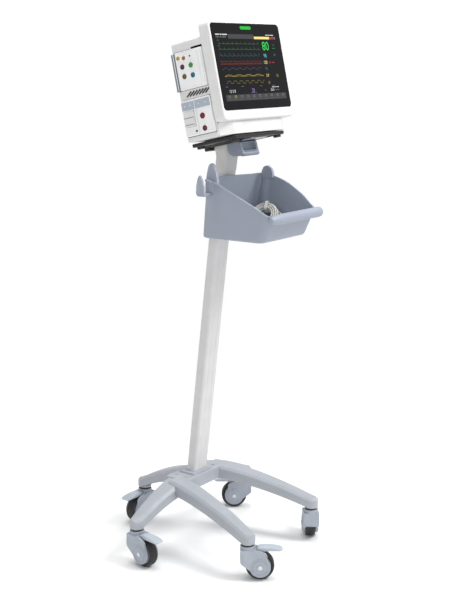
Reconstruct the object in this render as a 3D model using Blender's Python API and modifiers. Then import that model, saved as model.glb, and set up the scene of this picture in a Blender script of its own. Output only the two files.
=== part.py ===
"""Patient monitor on a five-legged rolling stand, with an accessory basket and measurement modules.

Metres, +Z up. The user faces the screen along +Y, so the front is -Y and the modules open towards -X.
The floor is z = 0, and the origin lies under the centre of the whole object's bounding box.
"""
import math

import bmesh
import bpy
from mathutils import Matrix, Vector

GAP = 0.0003                                 # between pieces that touch

# ---- driving dimensions -------------------------------------------------------------------------
CASTER_DROP = 0.012                          # the drawing's heights start this far below the floor
FRAME_SHIFT = Vector((0.0008, 0.0043, -CASTER_DROP))  # centres the bounding box and sets the wheels on z = 0
SWIVEL_CIRCLE = 0.262                        # radius of the circle through the five caster pins
WHEEL_RADIUS = 0.0375
WHEEL_TRAIL = 0.032                          # pin axis to wheel axis
TYRE_WIDTH = 0.026
FORK_WIDTH = 0.043
FORK_TOP = 0.1035
BOSS_BOTTOM = 0.1088
PIN_RADIUS = 0.0055
AXLE_RADIUS = 0.0040

HUB_TOP = 0.200                              # top of the cast base at the mast
TIP_TOP = 0.139                              # top of each leg over its caster
LEG_DEPTH = 0.038

MAST_FOOT = Vector((0.0, 0.0714, 0.2043))    # point on the mast's axis at the base
MAST_LEAN = math.radians(6.58)
MAST_SIZE = (0.060, 0.030)
MAST_WALL = 0.0025
MAST_ROUND = 0.008
MAST_BELOW = 0.029                           # how far the tube reaches into the base
MAST_ABOVE = 0.880

HEAD_CENTRE = Vector((0.0, -0.1073, 1.3166))  # centre of the glass's front face
HEAD_TILT = math.radians(12.76)
GLASS = (0.300, 0.2165, 0.003)
BEZEL_HALF = 0.157
BEZEL_LOW, BEZEL_HIGH = -0.1335, 0.1160
BEZEL_DEPTH = 0.030
CASE_BACK = 0.140
CASE_TOP = 0.084
CASE_LOW = -0.1650
CASE_WALL = 0.003
RACK_FACE = -0.156                           # side face of the modules

BASKET_FLOOR = 0.882
BASKET_WALL = 0.003

CABLE_RADIUS = 0.0025

# casters: name, pin angle from the front towards +X, and the direction in which the wheel trails
CASTERS = (
    ("side_left", -108.0, -98.0),
    ("front_left", -36.0, -53.6),
    ("front_right", 36.0, 36.5),
    ("side_right", 108.0, 126.4),
    ("rear", 180.0, 178.0),
)


# ---- scene, collections, materials ---------------------------------------------------------------
for old in list(bpy.data.objects):
    bpy.data.objects.remove(old, do_unlink=True)

PARTS = bpy.data.collections.new("patient_monitor")
CUTTERS = bpy.data.collections.new("cutters")
bpy.context.scene.collection.children.link(PARTS)
bpy.context.scene.collection.children.link(CUTTERS)


def material(name, colour, roughness, metallic=0.0):
    made = bpy.data.materials.new(name)
    made.use_nodes = True
    shader = made.node_tree.nodes["Principled BSDF"]
    shader.inputs["Base Color"].default_value = (*colour, 1.0)
    shader.inputs["Roughness"].default_value = roughness
    shader.inputs["Metallic"].default_value = metallic
    made.diffuse_color = (*colour, 1.0)
    return made


WHITE = material("case_white", (0.83, 0.84, 0.85), 0.45)
CASTING = material("base_grey", (0.56, 0.60, 0.65), 0.5)
FORK_GREY = material("caster_grey", (0.42, 0.47, 0.53), 0.45)
PEDAL_GREY = material("pedal_grey", (0.40, 0.44, 0.48), 0.5)
RUBBER = material("rubber_black", (0.02, 0.02, 0.022), 0.7)
STEEL = material("steel", (0.62, 0.63, 0.65), 0.3, 1.0)
MAST_PAINT = material("mast_paint", (0.60, 0.60, 0.62), 0.4)
BASKET_BLUE = material("basket_blue_grey", (0.28, 0.31, 0.37), 0.5)
BLACK = material("plastic_black", (0.015, 0.015, 0.017), 0.5)
GLASS_BLACK = material("glass_black", (0.012, 0.012, 0.014), 0.08)
SCREEN = material("lcd", (0.03, 0.035, 0.04), 0.3)
LENS_GREEN = material("lens_green", (0.05, 0.7, 0.15), 0.2)
LEVER_GREY = material("lever_grey", (0.33, 0.37, 0.43), 0.5)
MODULE_WHITE = material("module_white", (0.74, 0.76, 0.78), 0.45)
BOARD_GREEN = material("board_green", (0.03, 0.22, 0.10), 0.5)
TIN = material("sheet_metal", (0.66, 0.67, 0.68), 0.35, 1.0)
CELL_GREY = material("battery_grey", (0.10, 0.11, 0.12), 0.5)
CABLE_GREY = material("cable_grey", (0.70, 0.70, 0.67), 0.5)


# ---- building helpers ----------------------------------------------------------------------------
def empty(name, location, rotation=(0.0, 0.0, 0.0), parent=None):
    made = bpy.data.objects.new(name, None)
    made.location = location
    made.rotation_euler = rotation
    made.parent = parent
    CUTTERS.objects.link(made)
    return made


def add(name, mesh, surface, parent, location=(0.0, 0.0, 0.0), rotation=(0.0, 0.0, 0.0)):
    """Put a mesh in the scene, as a part, or as a hidden tool when it has no material."""
    made = bpy.data.objects.new(name, mesh)
    made.location = location
    made.rotation_euler = rotation
    made.parent = parent
    if surface is None:
        CUTTERS.objects.link(made)
        made.hide_render = True
        made.display_type = "WIRE"
    else:
        PARTS.objects.link(made)
        mesh.materials.append(surface)
        mesh.shade_smooth()
        mesh.set_sharp_from_angle(angle=math.radians(35))
    return made


def finish_mesh(name, bm):
    bmesh.ops.recalc_face_normals(bm, faces=bm.faces)
    if bm.calc_volume(signed=True) < 0:
        bmesh.ops.reverse_faces(bm, faces=bm.faces)
    mesh = bpy.data.meshes.new(name)
    bm.to_mesh(mesh)
    bm.free()
    return mesh


def box_mesh(name, low, high, move=None):
    """A box between two corners; move is a function that shifts each corner."""
    bm = bmesh.new()
    bmesh.ops.create_cube(bm, size=1.0)
    for vertex in bm.verts:
        for k in range(3):
            vertex.co[k] = low[k] + (vertex.co[k] + 0.5) * (high[k] - low[k])
        if move:
            vertex.co = move(vertex.co)
    return finish_mesh(name, bm)


def box(name, low, high, surface, parent, location=(0, 0, 0), move=None):
    return add(name, box_mesh(name, low, high, move), surface, parent, location)


def cylinder(name, radius, low, high, axis, centre, surface, parent, sides=24, location=(0, 0, 0)):
    """A cylinder along an axis, from low to high on that axis."""
    bm = bmesh.new()
    turn = {"X": Matrix.Rotation(math.pi / 2, 3, "Y"), "Y": Matrix.Rotation(-math.pi / 2, 3, "X"),
            "Z": Matrix.Identity(3)}[axis]
    bmesh.ops.create_cone(bm, cap_ends=True, segments=sides, radius1=radius, radius2=radius,
                          depth=high - low)
    for vertex in bm.verts:
        vertex.co.z += (high + low) / 2
        vertex.co = turn @ vertex.co + Vector(centre)
    return add(name, finish_mesh(name, bm), surface, parent, location)


def prism(name, outline, low, high, plane, surface, parent, location=(0, 0, 0)):
    """A flat outline drawn as a filled curve, given thickness between low and high across its plane."""
    curve = bpy.data.curves.new(name, "CURVE")
    curve.dimensions = "2D"
    curve.fill_mode = "BOTH"
    curve.extrude = (high - low) / 2
    line = curve.splines.new("POLY")
    line.points.add(len(outline) - 1)
    for point, (u, v) in zip(line.points, outline):
        point.co = (u, v, 0.0, 1.0)
    line.use_cyclic_u = True
    guide = bpy.data.objects.new(name + "_outline", curve)
    CUTTERS.objects.link(guide)
    bpy.context.view_layer.update()
    mesh = bpy.data.meshes.new_from_object(guide.evaluated_get(bpy.context.evaluated_depsgraph_get()))
    bpy.data.objects.remove(guide, do_unlink=True)
    across = (low + high) / 2
    place = {"XY": lambda p: Vector((p.x, p.y, p.z + across)),
             "XZ": lambda p: Vector((p.x, across - p.z, p.y)),
             "YZ": lambda p: Vector((p.z + across, p.x, p.y))}[plane]
    bm = bmesh.new()
    bm.from_mesh(mesh)
    bpy.data.meshes.remove(mesh)
    bmesh.ops.remove_doubles(bm, verts=bm.verts, dist=0.00002)
    for vertex in bm.verts:
        vertex.co = place(vertex.co)
    return add(name, finish_mesh(name, bm), surface, parent, location)


def turned(name, profile, axis, surface, parent, location=(0, 0, 0), steps=20):
    """A profile of (radius, height) points, turned about an axis with a Screw modifier.

    A profile that starts and ends on the axis stays open there; any other is a closed ring."""
    bm = bmesh.new()
    corners = [bm.verts.new((radius, 0.0, height)) for radius, height in profile]
    onward = corners[1:] if profile[0][0] == profile[-1][0] == 0.0 else corners[1:] + corners[:1]
    for here, there in zip(corners, onward):
        bm.edges.new((here, there))
    mesh = bpy.data.meshes.new(name)
    bm.to_mesh(mesh)
    bm.free()
    rotation = {"X": (0.0, math.pi / 2, 0.0), "Y": (math.pi / 2, 0.0, 0.0), "Z": (0.0, 0.0, 0.0)}[axis]
    made = add(name, mesh, surface, parent, location, rotation)
    screw = made.modifiers.new("turn", "SCREW")
    screw.axis = "Z"
    screw.steps = steps
    screw.render_steps = steps
    screw.use_merge_vertices = True
    screw.merge_threshold = 0.0001
    screw.use_smooth_shade = True
    return made


def combine(target, tool, operation):
    step = target.modifiers.new(operation.lower(), "BOOLEAN")
    step.operation = operation
    step.solver = "EXACT"
    step.object = tool
    return target


def cut(target, tool):
    return combine(target, tool, "DIFFERENCE")


def join(target, tool):
    return combine(target, tool, "UNION")


def soften(target, width, segments=2, angle=35.0):
    step = target.modifiers.new("soften", "BEVEL")
    step.width = width
    step.segments = segments
    step.limit_method = "ANGLE"
    step.angle_limit = math.radians(angle)
    return target


def arc(centre, radius, start, end, steps):
    """Points on an arc, with angles in degrees."""
    return [(centre[0] + radius * math.cos(math.radians(start + (end - start) * k / steps)),
             centre[1] + radius * math.sin(math.radians(start + (end - start) * k / steps)))
            for k in range(steps + 1)]


def round_rectangle(low, high, radius, steps=4):
    """Outline of a rectangle with round corners, counter-clockwise."""
    outline = []
    for x, y, start in ((high[0] - radius, low[1] + radius, -90), (high[0] - radius, high[1] - radius, 0),
                        (low[0] + radius, high[1] - radius, 90), (low[0] + radius, low[1] + radius, 180)):
        outline += arc((x, y), radius, start, start + 90, steps)
    return outline


def loft(name, rings, surface, parent, location=(0, 0, 0)):
    """A closed skin through rings that have the same number of points, with flat ends."""
    bm = bmesh.new()
    loops = [[bm.verts.new(point) for point in ring] for ring in rings]
    for lower, upper in zip(loops, loops[1:]):
        for k in range(len(lower)):
            after = (k + 1) % len(lower)
            bm.faces.new((lower[k], lower[after], upper[after], upper[k]))
    bm.faces.new(loops[0])
    bm.faces.new(loops[-1])
    bmesh.ops.triangulate(bm, faces=bm.faces)
    return add(name, finish_mesh(name, bm), surface, parent, location)


def smooth_route(points, spacing):
    """Evenly spaced points on a Catmull-Rom curve through the given ones."""
    knots = [Vector(p) for p in points]
    ends = [2 * knots[0] - knots[1], *knots, 2 * knots[-1] - knots[-2]]
    fine = []
    for a, b, c, d in zip(ends, ends[1:], ends[2:], ends[3:]):
        for k in range(12):
            t = k / 12
            fine.append(0.5 * (2 * b + (c - a) * t + (2 * a - 5 * b + 4 * c - d) * t ** 2
                               + (3 * b - a - 3 * c + d) * t ** 3))
    fine.append(knots[-1])
    length = sum((q - p).length for p, q in zip(fine, fine[1:]))
    count = max(2, round(length / spacing))
    even, walked, target = [fine[0]], 0.0, length / count
    for p, q in zip(fine, fine[1:]):
        step = (q - p).length
        while walked + step >= target and len(even) < count:
            even.append(p.lerp(q, (target - walked) / step))
            target += length / count
        walked += step
    even.append(fine[-1])
    return even


WHOLE = empty("whole", FRAME_SHIFT)


def pin_place(angle):
    turn = math.radians(angle)
    return Vector((SWIVEL_CIRCLE * math.sin(turn), -SWIVEL_CIRCLE * math.cos(turn), 0.0))


# ---- cast base ------------------------------------------------------------------------------------
def leg(name, root, tip, root_half, tip_half):
    """One leg, lofted along its length: flat top with chamfered edges, arched down to the caster."""
    root, tip = Vector((*root, 0.0)), Vector((*tip, 0.0))
    along = (tip - root).normalized()
    side = Vector((-along.y, along.x, 0.0))
    chamfer = 0.006
    rings = []
    steps = 6
    for k in range(steps + 1):
        s = k / steps
        half = root_half + (tip_half - root_half) * s
        top = HUB_TOP - (HUB_TOP - TIP_TOP) * s ** 1.7
        bottom = top - LEG_DEPTH + 0.008 * s
        centre = root + (tip - root) * s
        section = [(-half - 0.002, bottom), (half + 0.002, bottom), (half, top - chamfer),
                   (half - chamfer, top), (-half + chamfer, top), (-half, top - chamfer)]
        rings.append([centre + side * across + Vector((0, 0, z)) for across, z in section])
    return loft(name, rings, None, WHOLE)


def build_base():
    base = box("base_star", (-0.088, 0.040, HUB_TOP - LEG_DEPTH), (0.088, 0.114, HUB_TOP), CASTING, WHOLE)
    soften(base, 0.005)
    pins = {name: pin_place(angle) for name, angle, trail in CASTERS}
    for side in (-1, 1):
        front = pins["front_right"] if side > 0 else pins["front_left"]
        beside = pins["side_right"] if side > 0 else pins["side_left"]
        join(base, leg("front_leg", (side * 0.084, 0.078), front.xy, 0.029, 0.0195))
        join(base, leg("side_leg", (side * 0.045, 0.078), beside.xy, 0.034, 0.0195))
    join(base, leg("rear_leg", (0.0, 0.090), pins["rear"].xy, 0.034, 0.0195))
    for name, pin in pins.items():
        sections = ((0.0200, BOSS_BOTTOM), (0.0212, BOSS_BOTTOM + 0.002), (0.0195, TIP_TOP - 0.003),
                    (0.0150, TIP_TOP + 0.0005))
        rings = [[Vector((x, y, z)) for x, y in arc((0, 0), radius, 11.0, 371.0, 16)[:-1]]
                 for radius, z in sections]
        join(base, loft("boss_" + name, rings, None, WHOLE, pin))
    socket = box("foot_pad", (-0.043, 0.048, HUB_TOP - 0.02), (0.043, 0.100, HUB_TOP + 0.006), None, WHOLE)
    soften(socket, 0.005)
    join(base, socket)
    for name, pin in pins.items():
        cut(base, cylinder("pin_bore_" + name, PIN_RADIUS + GAP, BOSS_BOTTOM - 0.01, 0.1305, "Z", pin,
                           None, WHOLE, 16))
    pocket = prism("mast_pocket", round_rectangle((-MAST_SIZE[0] / 2 - GAP, -MAST_SIZE[1] / 2 - GAP),
                                                  (MAST_SIZE[0] / 2 + GAP, MAST_SIZE[1] / 2 + GAP),
                                                  MAST_ROUND + GAP),
                   -MAST_BELOW - GAP, 0.05, "XY", None, MAST)
    cut(base, pocket)


# ---- casters --------------------------------------------------------------------------------------
def build_caster(name, angle, trail):
    pin = pin_place(angle)
    place = empty("caster_" + name, pin, (0.0, 0.0, math.radians(trail)), WHOLE)
    half = FORK_WIDTH / 2
    centre = (WHEEL_TRAIL, WHEEL_RADIUS + CASTER_DROP)
    inside = TYRE_WIDTH / 2 + 0.002

    turned("caster_stem_" + name, [(0.0, 0.1300), (PIN_RADIUS, 0.1300),
                                   (PIN_RADIUS, BOSS_BOTTOM - GAP), (0.0165, BOSS_BOTTOM - GAP),
                                   (0.0165, FORK_TOP + GAP), (PIN_RADIUS, FORK_TOP + GAP),
                                   (PIN_RADIUS, 0.0960), (0.0, 0.0960)],
           "Z", RUBBER, place, (0, 0, 0), 16)

    hood = [(-0.0195, 0.095), (0.020, 0.095), (0.034, 0.0925), (0.045, 0.088), (0.049, 0.081),
            (0.051, 0.072)]
    hood += arc(centre, 0.0275, 40, -160, 8)
    hood += [(-0.0195, 0.058)]
    fork = prism("caster_fork_" + name, hood[::-1], -half, half, "XZ", FORK_GREY, place)
    soften(fork, 0.002, 1)
    join(fork, cylinder("neck_" + name, 0.0195, 0.090, FORK_TOP, "Z", (0, 0, 0), None, place, 16))
    cut(fork, cylinder("wheel_room_" + name, WHEEL_RADIUS + 0.003, -inside, inside, "Y",
                       (centre[0], 0, centre[1]), None, place, 24))
    cut(fork, box("pedal_room_" + name, (0.0235, -inside, 0.060), (0.062, inside, 0.112), None, place))
    cut(fork, cylinder("stem_bore_" + name, PIN_RADIUS + GAP, 0.0957, 0.12, "Z", (0, 0, 0), None, place, 12))
    cut(fork, cylinder("axle_bore_" + name, AXLE_RADIUS + GAP, -0.03, 0.03, "Y",
                       (centre[0], 0, centre[1]), None, place, 12))

    wheel = (centre[0], 0.0, centre[1])
    cylinder("wheel_axle_" + name, AXLE_RADIUS, -half - 0.001, half + 0.001, "Y", (0, 0, 0), STEEL, place,
             12, wheel)
    turned("wheel_hub_" + name, [(0.0285, 0.0100), (0.0285, -0.0100), (0.0120, -0.0085), (0.0105, -0.0130),
                                 (0.0044, -0.0130), (0.0044, 0.0130), (0.0105, 0.0130), (0.0120, 0.0085)],
           "Y", FORK_GREY, place, wheel)
    edge = TYRE_WIDTH / 2
    turned("tyre_" + name, [(0.0350, edge), (WHEEL_RADIUS, 0.007), (WHEEL_RADIUS, -0.007), (0.0350, -edge),
                            (0.0288, -0.0115), (0.0288, 0.0115)],
           "Y", RUBBER, place, wheel, 28)

    pivot = (0.034, 0.095)
    outline = [(0.0250, 0.0890), (0.0420, 0.0888), (0.0600, 0.0900), (0.0800, 0.0905), (0.0890, 0.0912),
               (0.0890, 0.0950), (0.0700, 0.1000), (0.0420, 0.1020), (0.0250, 0.1000)]
    pedal = prism("brake_pedal_" + name, [(x - pivot[0], z - pivot[1]) for x, z in outline],
                  -0.0142, 0.0142, "XZ", PEDAL_GREY, place, (pivot[0], 0.0, pivot[1]))
    soften(pedal, 0.0015, 1)


# ---- mast, dock and lever -------------------------------------------------------------------------
MAST = empty("mast_axis", MAST_FOOT, (MAST_LEAN, 0.0, 0.0), WHOLE)
HEAD = empty("head_axis", HEAD_CENTRE, (-HEAD_TILT, 0.0, 0.0), WHOLE)


def build_mast():
    half_x, half_y = MAST_SIZE[0] / 2, MAST_SIZE[1] / 2
    tube = prism("mast_tube", round_rectangle((-half_x, -half_y), (half_x, half_y), MAST_ROUND),
                 -MAST_BELOW, MAST_ABOVE, "XY", MAST_PAINT, MAST)
    bore = prism("mast_bore", round_rectangle((MAST_WALL - half_x, MAST_WALL - half_y),
                                              (half_x - MAST_WALL, half_y - MAST_WALL),
                                              MAST_ROUND - MAST_WALL),
                 -MAST_BELOW - 0.01, MAST_ABOVE + 0.01, "XY", None, MAST)
    cut(tube, bore)


PLATE_TOP, PLATE_LOW = -0.1675, -0.1775      # heights in the head's frame
PLATE_FRONT, PLATE_BACK = 0.010, 0.150       # depths behind the glass


def head_to_mast(point):
    """A point of the head's frame in the mast's frame."""
    spot = Matrix.Rotation(-HEAD_TILT, 3, "X") @ Vector(point) + HEAD_CENTRE - MAST_FOOT
    return Matrix.Rotation(-MAST_LEAN, 3, "X") @ spot


def build_dock():
    # neck casting: from a round-cornered section on the tube to the tilted underside of the plate
    sections = ((0.850, 0.034, 0.019), (0.892, 0.034, 0.019), (0.904, 0.0345, 0.021))
    rings = []
    for height, half_x, half_y in sections:
        outline = round_rectangle((-half_x, -half_y), (half_x, half_y), 0.010)
        rings.append([Vector((x, y, height)) for x, y in outline])
    top = []
    for x, y in round_rectangle((-0.0345, -0.023), (0.0345, 0.021), 0.010):
        foot = head_to_mast((x, 0.115, PLATE_LOW - GAP))
        slope = math.tan(MAST_LEAN + HEAD_TILT)
        top.append(Vector((x, y, foot.z - slope * (y - foot.y))))
    rings.append(top)
    neck = loft("mount_head", rings, MAST_PAINT, MAST)
    room = prism("neck_room", round_rectangle((-MAST_SIZE[0] / 2 - GAP, -MAST_SIZE[1] / 2 - GAP),
                                              (MAST_SIZE[0] / 2 + GAP, MAST_SIZE[1] / 2 + GAP),
                                              MAST_ROUND + GAP),
                 0.80, MAST_ABOVE + GAP, "XY", None, MAST)
    cut(neck, room)

    # plate with a guide rail, a rear block and four feet
    plate = box("mount_plate", (-0.110, PLATE_FRONT, PLATE_LOW), (0.110, PLATE_BACK, PLATE_TOP), BLACK, HEAD)
    soften(plate, 0.003)
    join(plate, box("rail", (-0.030, 0.045, PLATE_TOP - 0.004), (0.030, 0.140, PLATE_TOP + 0.0035), None, HEAD))
    join(plate, box("rear_block", (-0.048, 0.1430, PLATE_LOW - 0.012), (0.048, 0.160, PLATE_TOP - 0.004),
                    None, HEAD))
    for x in (-0.095, 0.095):
        for y in (0.024, 0.134):
            join(plate, cylinder("foot", 0.0055, PLATE_LOW - 0.005, PLATE_LOW + 0.003, "Z", (x, y, 0), None,
                                 HEAD, 16))

    tongue = box("dock_tongue", (-0.034, 0.016, PLATE_LOW - 0.0036), (0.034, 0.047, PLATE_LOW - GAP),
                 STEEL, HEAD)
    soften(tongue, 0.001, 1)

    # release lever: a hollow pull with a lower lip, hinged at its upper rear edge
    pivot = Vector((0.0, 0.086, PLATE_LOW - 0.010))
    profile = [(0.052, -0.0045), (0.092, -0.0045), (0.092, -0.030), (0.080, -0.038), (0.056, -0.041),
               (0.047, -0.038), (0.050, -0.031)]
    lever = prism("release_lever", [(y - pivot.y, PLATE_LOW + z - pivot.z) for y, z in profile],
                  -0.037, 0.037, "YZ", LEVER_GREY, HEAD, pivot)
    soften(lever, 0.002)
    cut(lever, box("lever_recess", (-0.030, 0.030 - pivot.y, PLATE_LOW - 0.030 - pivot.z),
                   (0.030, 0.082 - pivot.y, PLATE_LOW - 0.009 - pivot.z), None, HEAD, pivot))


# ---- basket ---------------------------------------------------------------------------------------
def basket_box(name, inset, top, floor):
    """The basket's tapered outer or inner form, with its four upright edges rounded."""
    span = 1.045 - 0.882

    def place(y_side, x_side, z):
        s = (z - 0.882) / span
        rear_x, front_x = 0.110 + 0.020 * s, 0.105 + 0.019 * s
        rear_y, front_y = -0.024 - 0.028 * s, -0.2135 - 0.0665 * s
        half = (rear_x if y_side > 0 else front_x) - inset
        y = rear_y - inset if y_side > 0 else front_y + inset
        return Vector((x_side * half, y, z))

    radius, turns = 0.022 - inset, 4
    rings = []
    for z in (floor, top):
        ring = []
        for y_side, x_side, start in ((-1, 1, -90), (1, 1, 0), (1, -1, 90), (-1, -1, 180)):
            corner = place(y_side, x_side, z)
            centre = (corner.x - x_side * radius, corner.y - y_side * radius)
            ring += [Vector((x, y, z)) for x, y in arc(centre, radius, start, start + 90, turns)]
        rings.append(ring)
    return loft(name, rings, None if inset else BASKET_BLUE, WHOLE)


RIM = [(-0.020, 1.040), (-0.060, 1.040), (-0.085, 1.030), (-0.110, 1.018), (-0.140, 1.004), (-0.180, 0.985),
       (-0.215, 0.967), (-0.238, 0.955), (-0.250, 0.949)]
LEFT_FIN = [(-0.056, 1.020), (-0.100, 1.020), (-0.094, 1.045), (-0.080, 1.072), (-0.072, 1.078), (-0.064, 1.070),
            (-0.057, 1.045)]
RIGHT_FIN = [(-0.059, 1.020), (-0.095, 1.020), (-0.093, 1.040), (-0.084, 1.0515), (-0.075, 1.053),
             (-0.066, 1.049), (-0.060, 1.038)]
HANDLE = (-0.2455, 0.9440)
HANDLE_RADIUS = 0.0135


def build_basket():
    basket = basket_box("basket", 0.0, 1.080, BASKET_FLOOR)
    above = RIM + [(-0.40, 0.949), (-0.40, 1.2), (-0.020, 1.2)]
    cut(basket, prism("above_rim", above[::-1], -0.2, 0.2, "YZ", None, WHOLE))
    cut(basket, basket_box("basket_hollow", BASKET_WALL, 1.10, BASKET_FLOOR + BASKET_WALL))
    join(basket, cylinder("rolled_edge", HANDLE_RADIUS, -0.118, 0.118, "X", (0, *HANDLE), None, WHOLE, 20))
    for side in (-1, 1):
        # cable hook: a fin on the wall, a bar outwards and an outer fin
        inner = LEFT_FIN if side < 0 else RIGHT_FIN
        x_wall = (side * 0.1165, side * 0.1255)
        join(basket, prism("inner_fin", inner, min(x_wall), max(x_wall), "YZ", None, WHOLE))
        top = 1.050 if side < 0 else 1.028
        outer = [(-0.055, 1.000), (-0.078, 1.000), (-0.077, top - 0.026), (-0.069, top - 0.004), (-0.064, top),
                 (-0.060, top - 0.006), (-0.055, top - 0.026)]
        x_outer = (side * 0.160, side * 0.165)
        join(basket, prism("outer_fin", outer, min(x_outer), max(x_outer), "YZ", None, WHOLE))
        reach = (side * 0.118, side * 0.165)
        join(basket, box("hook_bar", (min(reach), -0.077, 0.996), (max(reach), -0.056, 1.003), None, WHOLE))

    # clamp between the mast and the basket's back wall
    clamp = box("basket_clamp", (-0.040, -0.0275, 0.700), (0.040, 0.0235, 0.775), BASKET_BLUE, MAST)
    soften(clamp, 0.004)
    cut(clamp, prism("clamp_bore", round_rectangle((-MAST_SIZE[0] / 2 - GAP, -MAST_SIZE[1] / 2 - GAP),
                                                   (MAST_SIZE[0] / 2 + GAP, MAST_SIZE[1] / 2 + GAP),
                                                   MAST_ROUND + GAP),
                     0.65, 0.85, "XY", None, MAST))
    cut(clamp, basket_keep_out())


def basket_keep_out():
    """The space behind the back wall's outer face is the clamp's; everything in front is cut away."""
    lean = 0.028 / (1.045 - 0.882)
    back = [(-0.024 + GAP - lean * (z - 0.882), z) for z in (0.80, 1.10)]
    outline = [back[0], (-0.2, 0.80), (-0.2, 1.10), back[1]]
    return prism("basket_keep_out", outline, -0.1, 0.1, "YZ", None, WHOLE)


# ---- monitor head ---------------------------------------------------------------------------------
def build_front():
    half_w, half_h = GLASS[0] / 2, GLASS[1] / 2
    bezel = prism("front_bezel", round_rectangle((-BEZEL_HALF, BEZEL_LOW), (BEZEL_HALF, BEZEL_HIGH), 0.016, 5),
                  -0.0006, BEZEL_DEPTH, "XZ", WHITE, HEAD)
    soften(bezel, 0.0025, 2, 60)
    cut(bezel, prism("glass_seat", round_rectangle((-half_w - GAP, -half_h - GAP), (half_w + GAP, half_h + GAP),
                                                   0.0103, 5), -0.01, GLASS[2] + GAP, "XZ", None, HEAD))
    cut(bezel, box("bezel_hollow", (-0.146, 0.001, -0.104), (0.146, 0.0270, 0.104), None, HEAD))
    cut(bezel, box("bezel_mouth", (-0.1455, 0.0200, -0.1035), (0.1455, 0.05, 0.0790), None, HEAD))

    glass = prism("touch_glass", round_rectangle((-half_w, -half_h), (half_w, half_h), 0.010, 5), 0.0, GLASS[2],
                  "XZ", GLASS_BLACK, HEAD)
    cut(glass, prism("lens_slot", round_rectangle((-0.0243, 0.0931), (0.0243, 0.1019), 0.0035, 3), -0.01, 0.01,
                     "XZ", None, HEAD))
    prism("alarm_lens", round_rectangle((-0.024, 0.0934), (0.024, 0.1016), 0.0033, 3), 0.0002, 0.0065, "XZ",
          LENS_GREEN, HEAD)
    box("lcd_panel", (-0.1355, GLASS[2] + GAP, -0.0865), (0.1355, 0.0100, 0.0865), SCREEN, HEAD)


def build_case():
    case = box("rear_housing", (-0.150, 0.015, -0.128), (0.150, CASE_BACK, CASE_TOP), WHITE, HEAD)
    soften(case, 0.006)
    foot = box("case_foot", (-0.1495, 0.015, CASE_LOW), (0.128, CASE_BACK - 0.004, -0.110), None, HEAD)
    soften(foot, 0.004)
    join(case, foot)
    cut(case, box("bezel_room", (-0.2, 0.0, -0.2), (0.2, BEZEL_DEPTH + GAP, 0.2), None, HEAD))
    wall = CASE_WALL
    cut(case, box("case_hollow", (-0.147, 0.02, -0.125), (0.147, CASE_BACK - wall, CASE_TOP - wall), None, HEAD))
    cut(case, box("foot_hollow", (-0.1463, 0.021, CASE_LOW + wall),
                  (0.128 - wall, CASE_BACK - 0.004 - wall, -0.117), None, HEAD))
    # module bays in the left wall, the fan's air slots, the inlet's window and the battery's window
    cut(case, box("upper_bay", (-0.17, 0.0335, -0.0375), (-0.13, 0.1265, 0.0600), None, HEAD))
    cut(case, box("lower_bay", (-0.17, 0.0335, -0.1535), (-0.13, 0.1265, -0.0600), None, HEAD))
    cut(case, box("lid_wedge", (-0.17, 0.0335, 0.0590), (-0.146, 0.0700, 0.0640), None, HEAD))
    for k in range(5):
        height = 0.012 + 0.009 * k
        cut(case, box("air_slot", (0.010, CASE_BACK - 0.01, height), (0.058, CASE_BACK + 0.01, height + 0.0045),
                      None, HEAD))
    cut(case, box("inlet_window", (-0.0343, 0.12, -0.1583), (-0.0057, 0.16, -0.1357), None, HEAD))
    cut(case, box("battery_window", (0.12, 0.0450, -0.1590), (0.14, 0.1150, -0.1360), None, HEAD))
    # groove for the dock's guide rail
    cut(case, box("rail_groove", (-0.0325, -0.05, CASE_LOW - 0.01), (0.0325, 0.1425, CASE_LOW + 0.0018), None, HEAD))

    cover = prism("lower_cover", [(-0.107, 0.0100), (-0.149, 0.0300), (0.1265, 0.0300), (0.1265, 0.0200),
                                  (0.1080, 0.0100)],
                  CASE_LOW, BEZEL_LOW - GAP, "XY", WHITE, HEAD)
    soften(cover, 0.002)
    cut(cover, box("cover_hollow", (-0.095, 0.0130, CASE_LOW + 0.003), (0.100, 0.04, BEZEL_LOW - 0.0035), None,
                   HEAD))
    cut(cover, cylinder("button_bore", 0.0053, 0.0, 0.02, "Y", (-0.062, 0, -0.1490), None, HEAD, 20))
    turned("power_button", [(0.0, 0.0075), (0.0042, 0.0075), (0.0050, 0.0068), (0.0050, 0.0002),
                            (0.0068, 0.0002), (0.0068, -0.0012), (0.0, -0.0012)],
           "Y", MODULE_WHITE, HEAD, (-0.062, 0.0154, -0.1490), 20)


def socket_plate(body, places, radius, face):
    """Round sockets that stand proud of a module's side face, joined to it."""
    for depth, height in places:
        join(body, cylinder("socket", radius, face - 0.0035, face + 0.004, "X", (0, depth, height), None, HEAD, 16))


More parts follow.
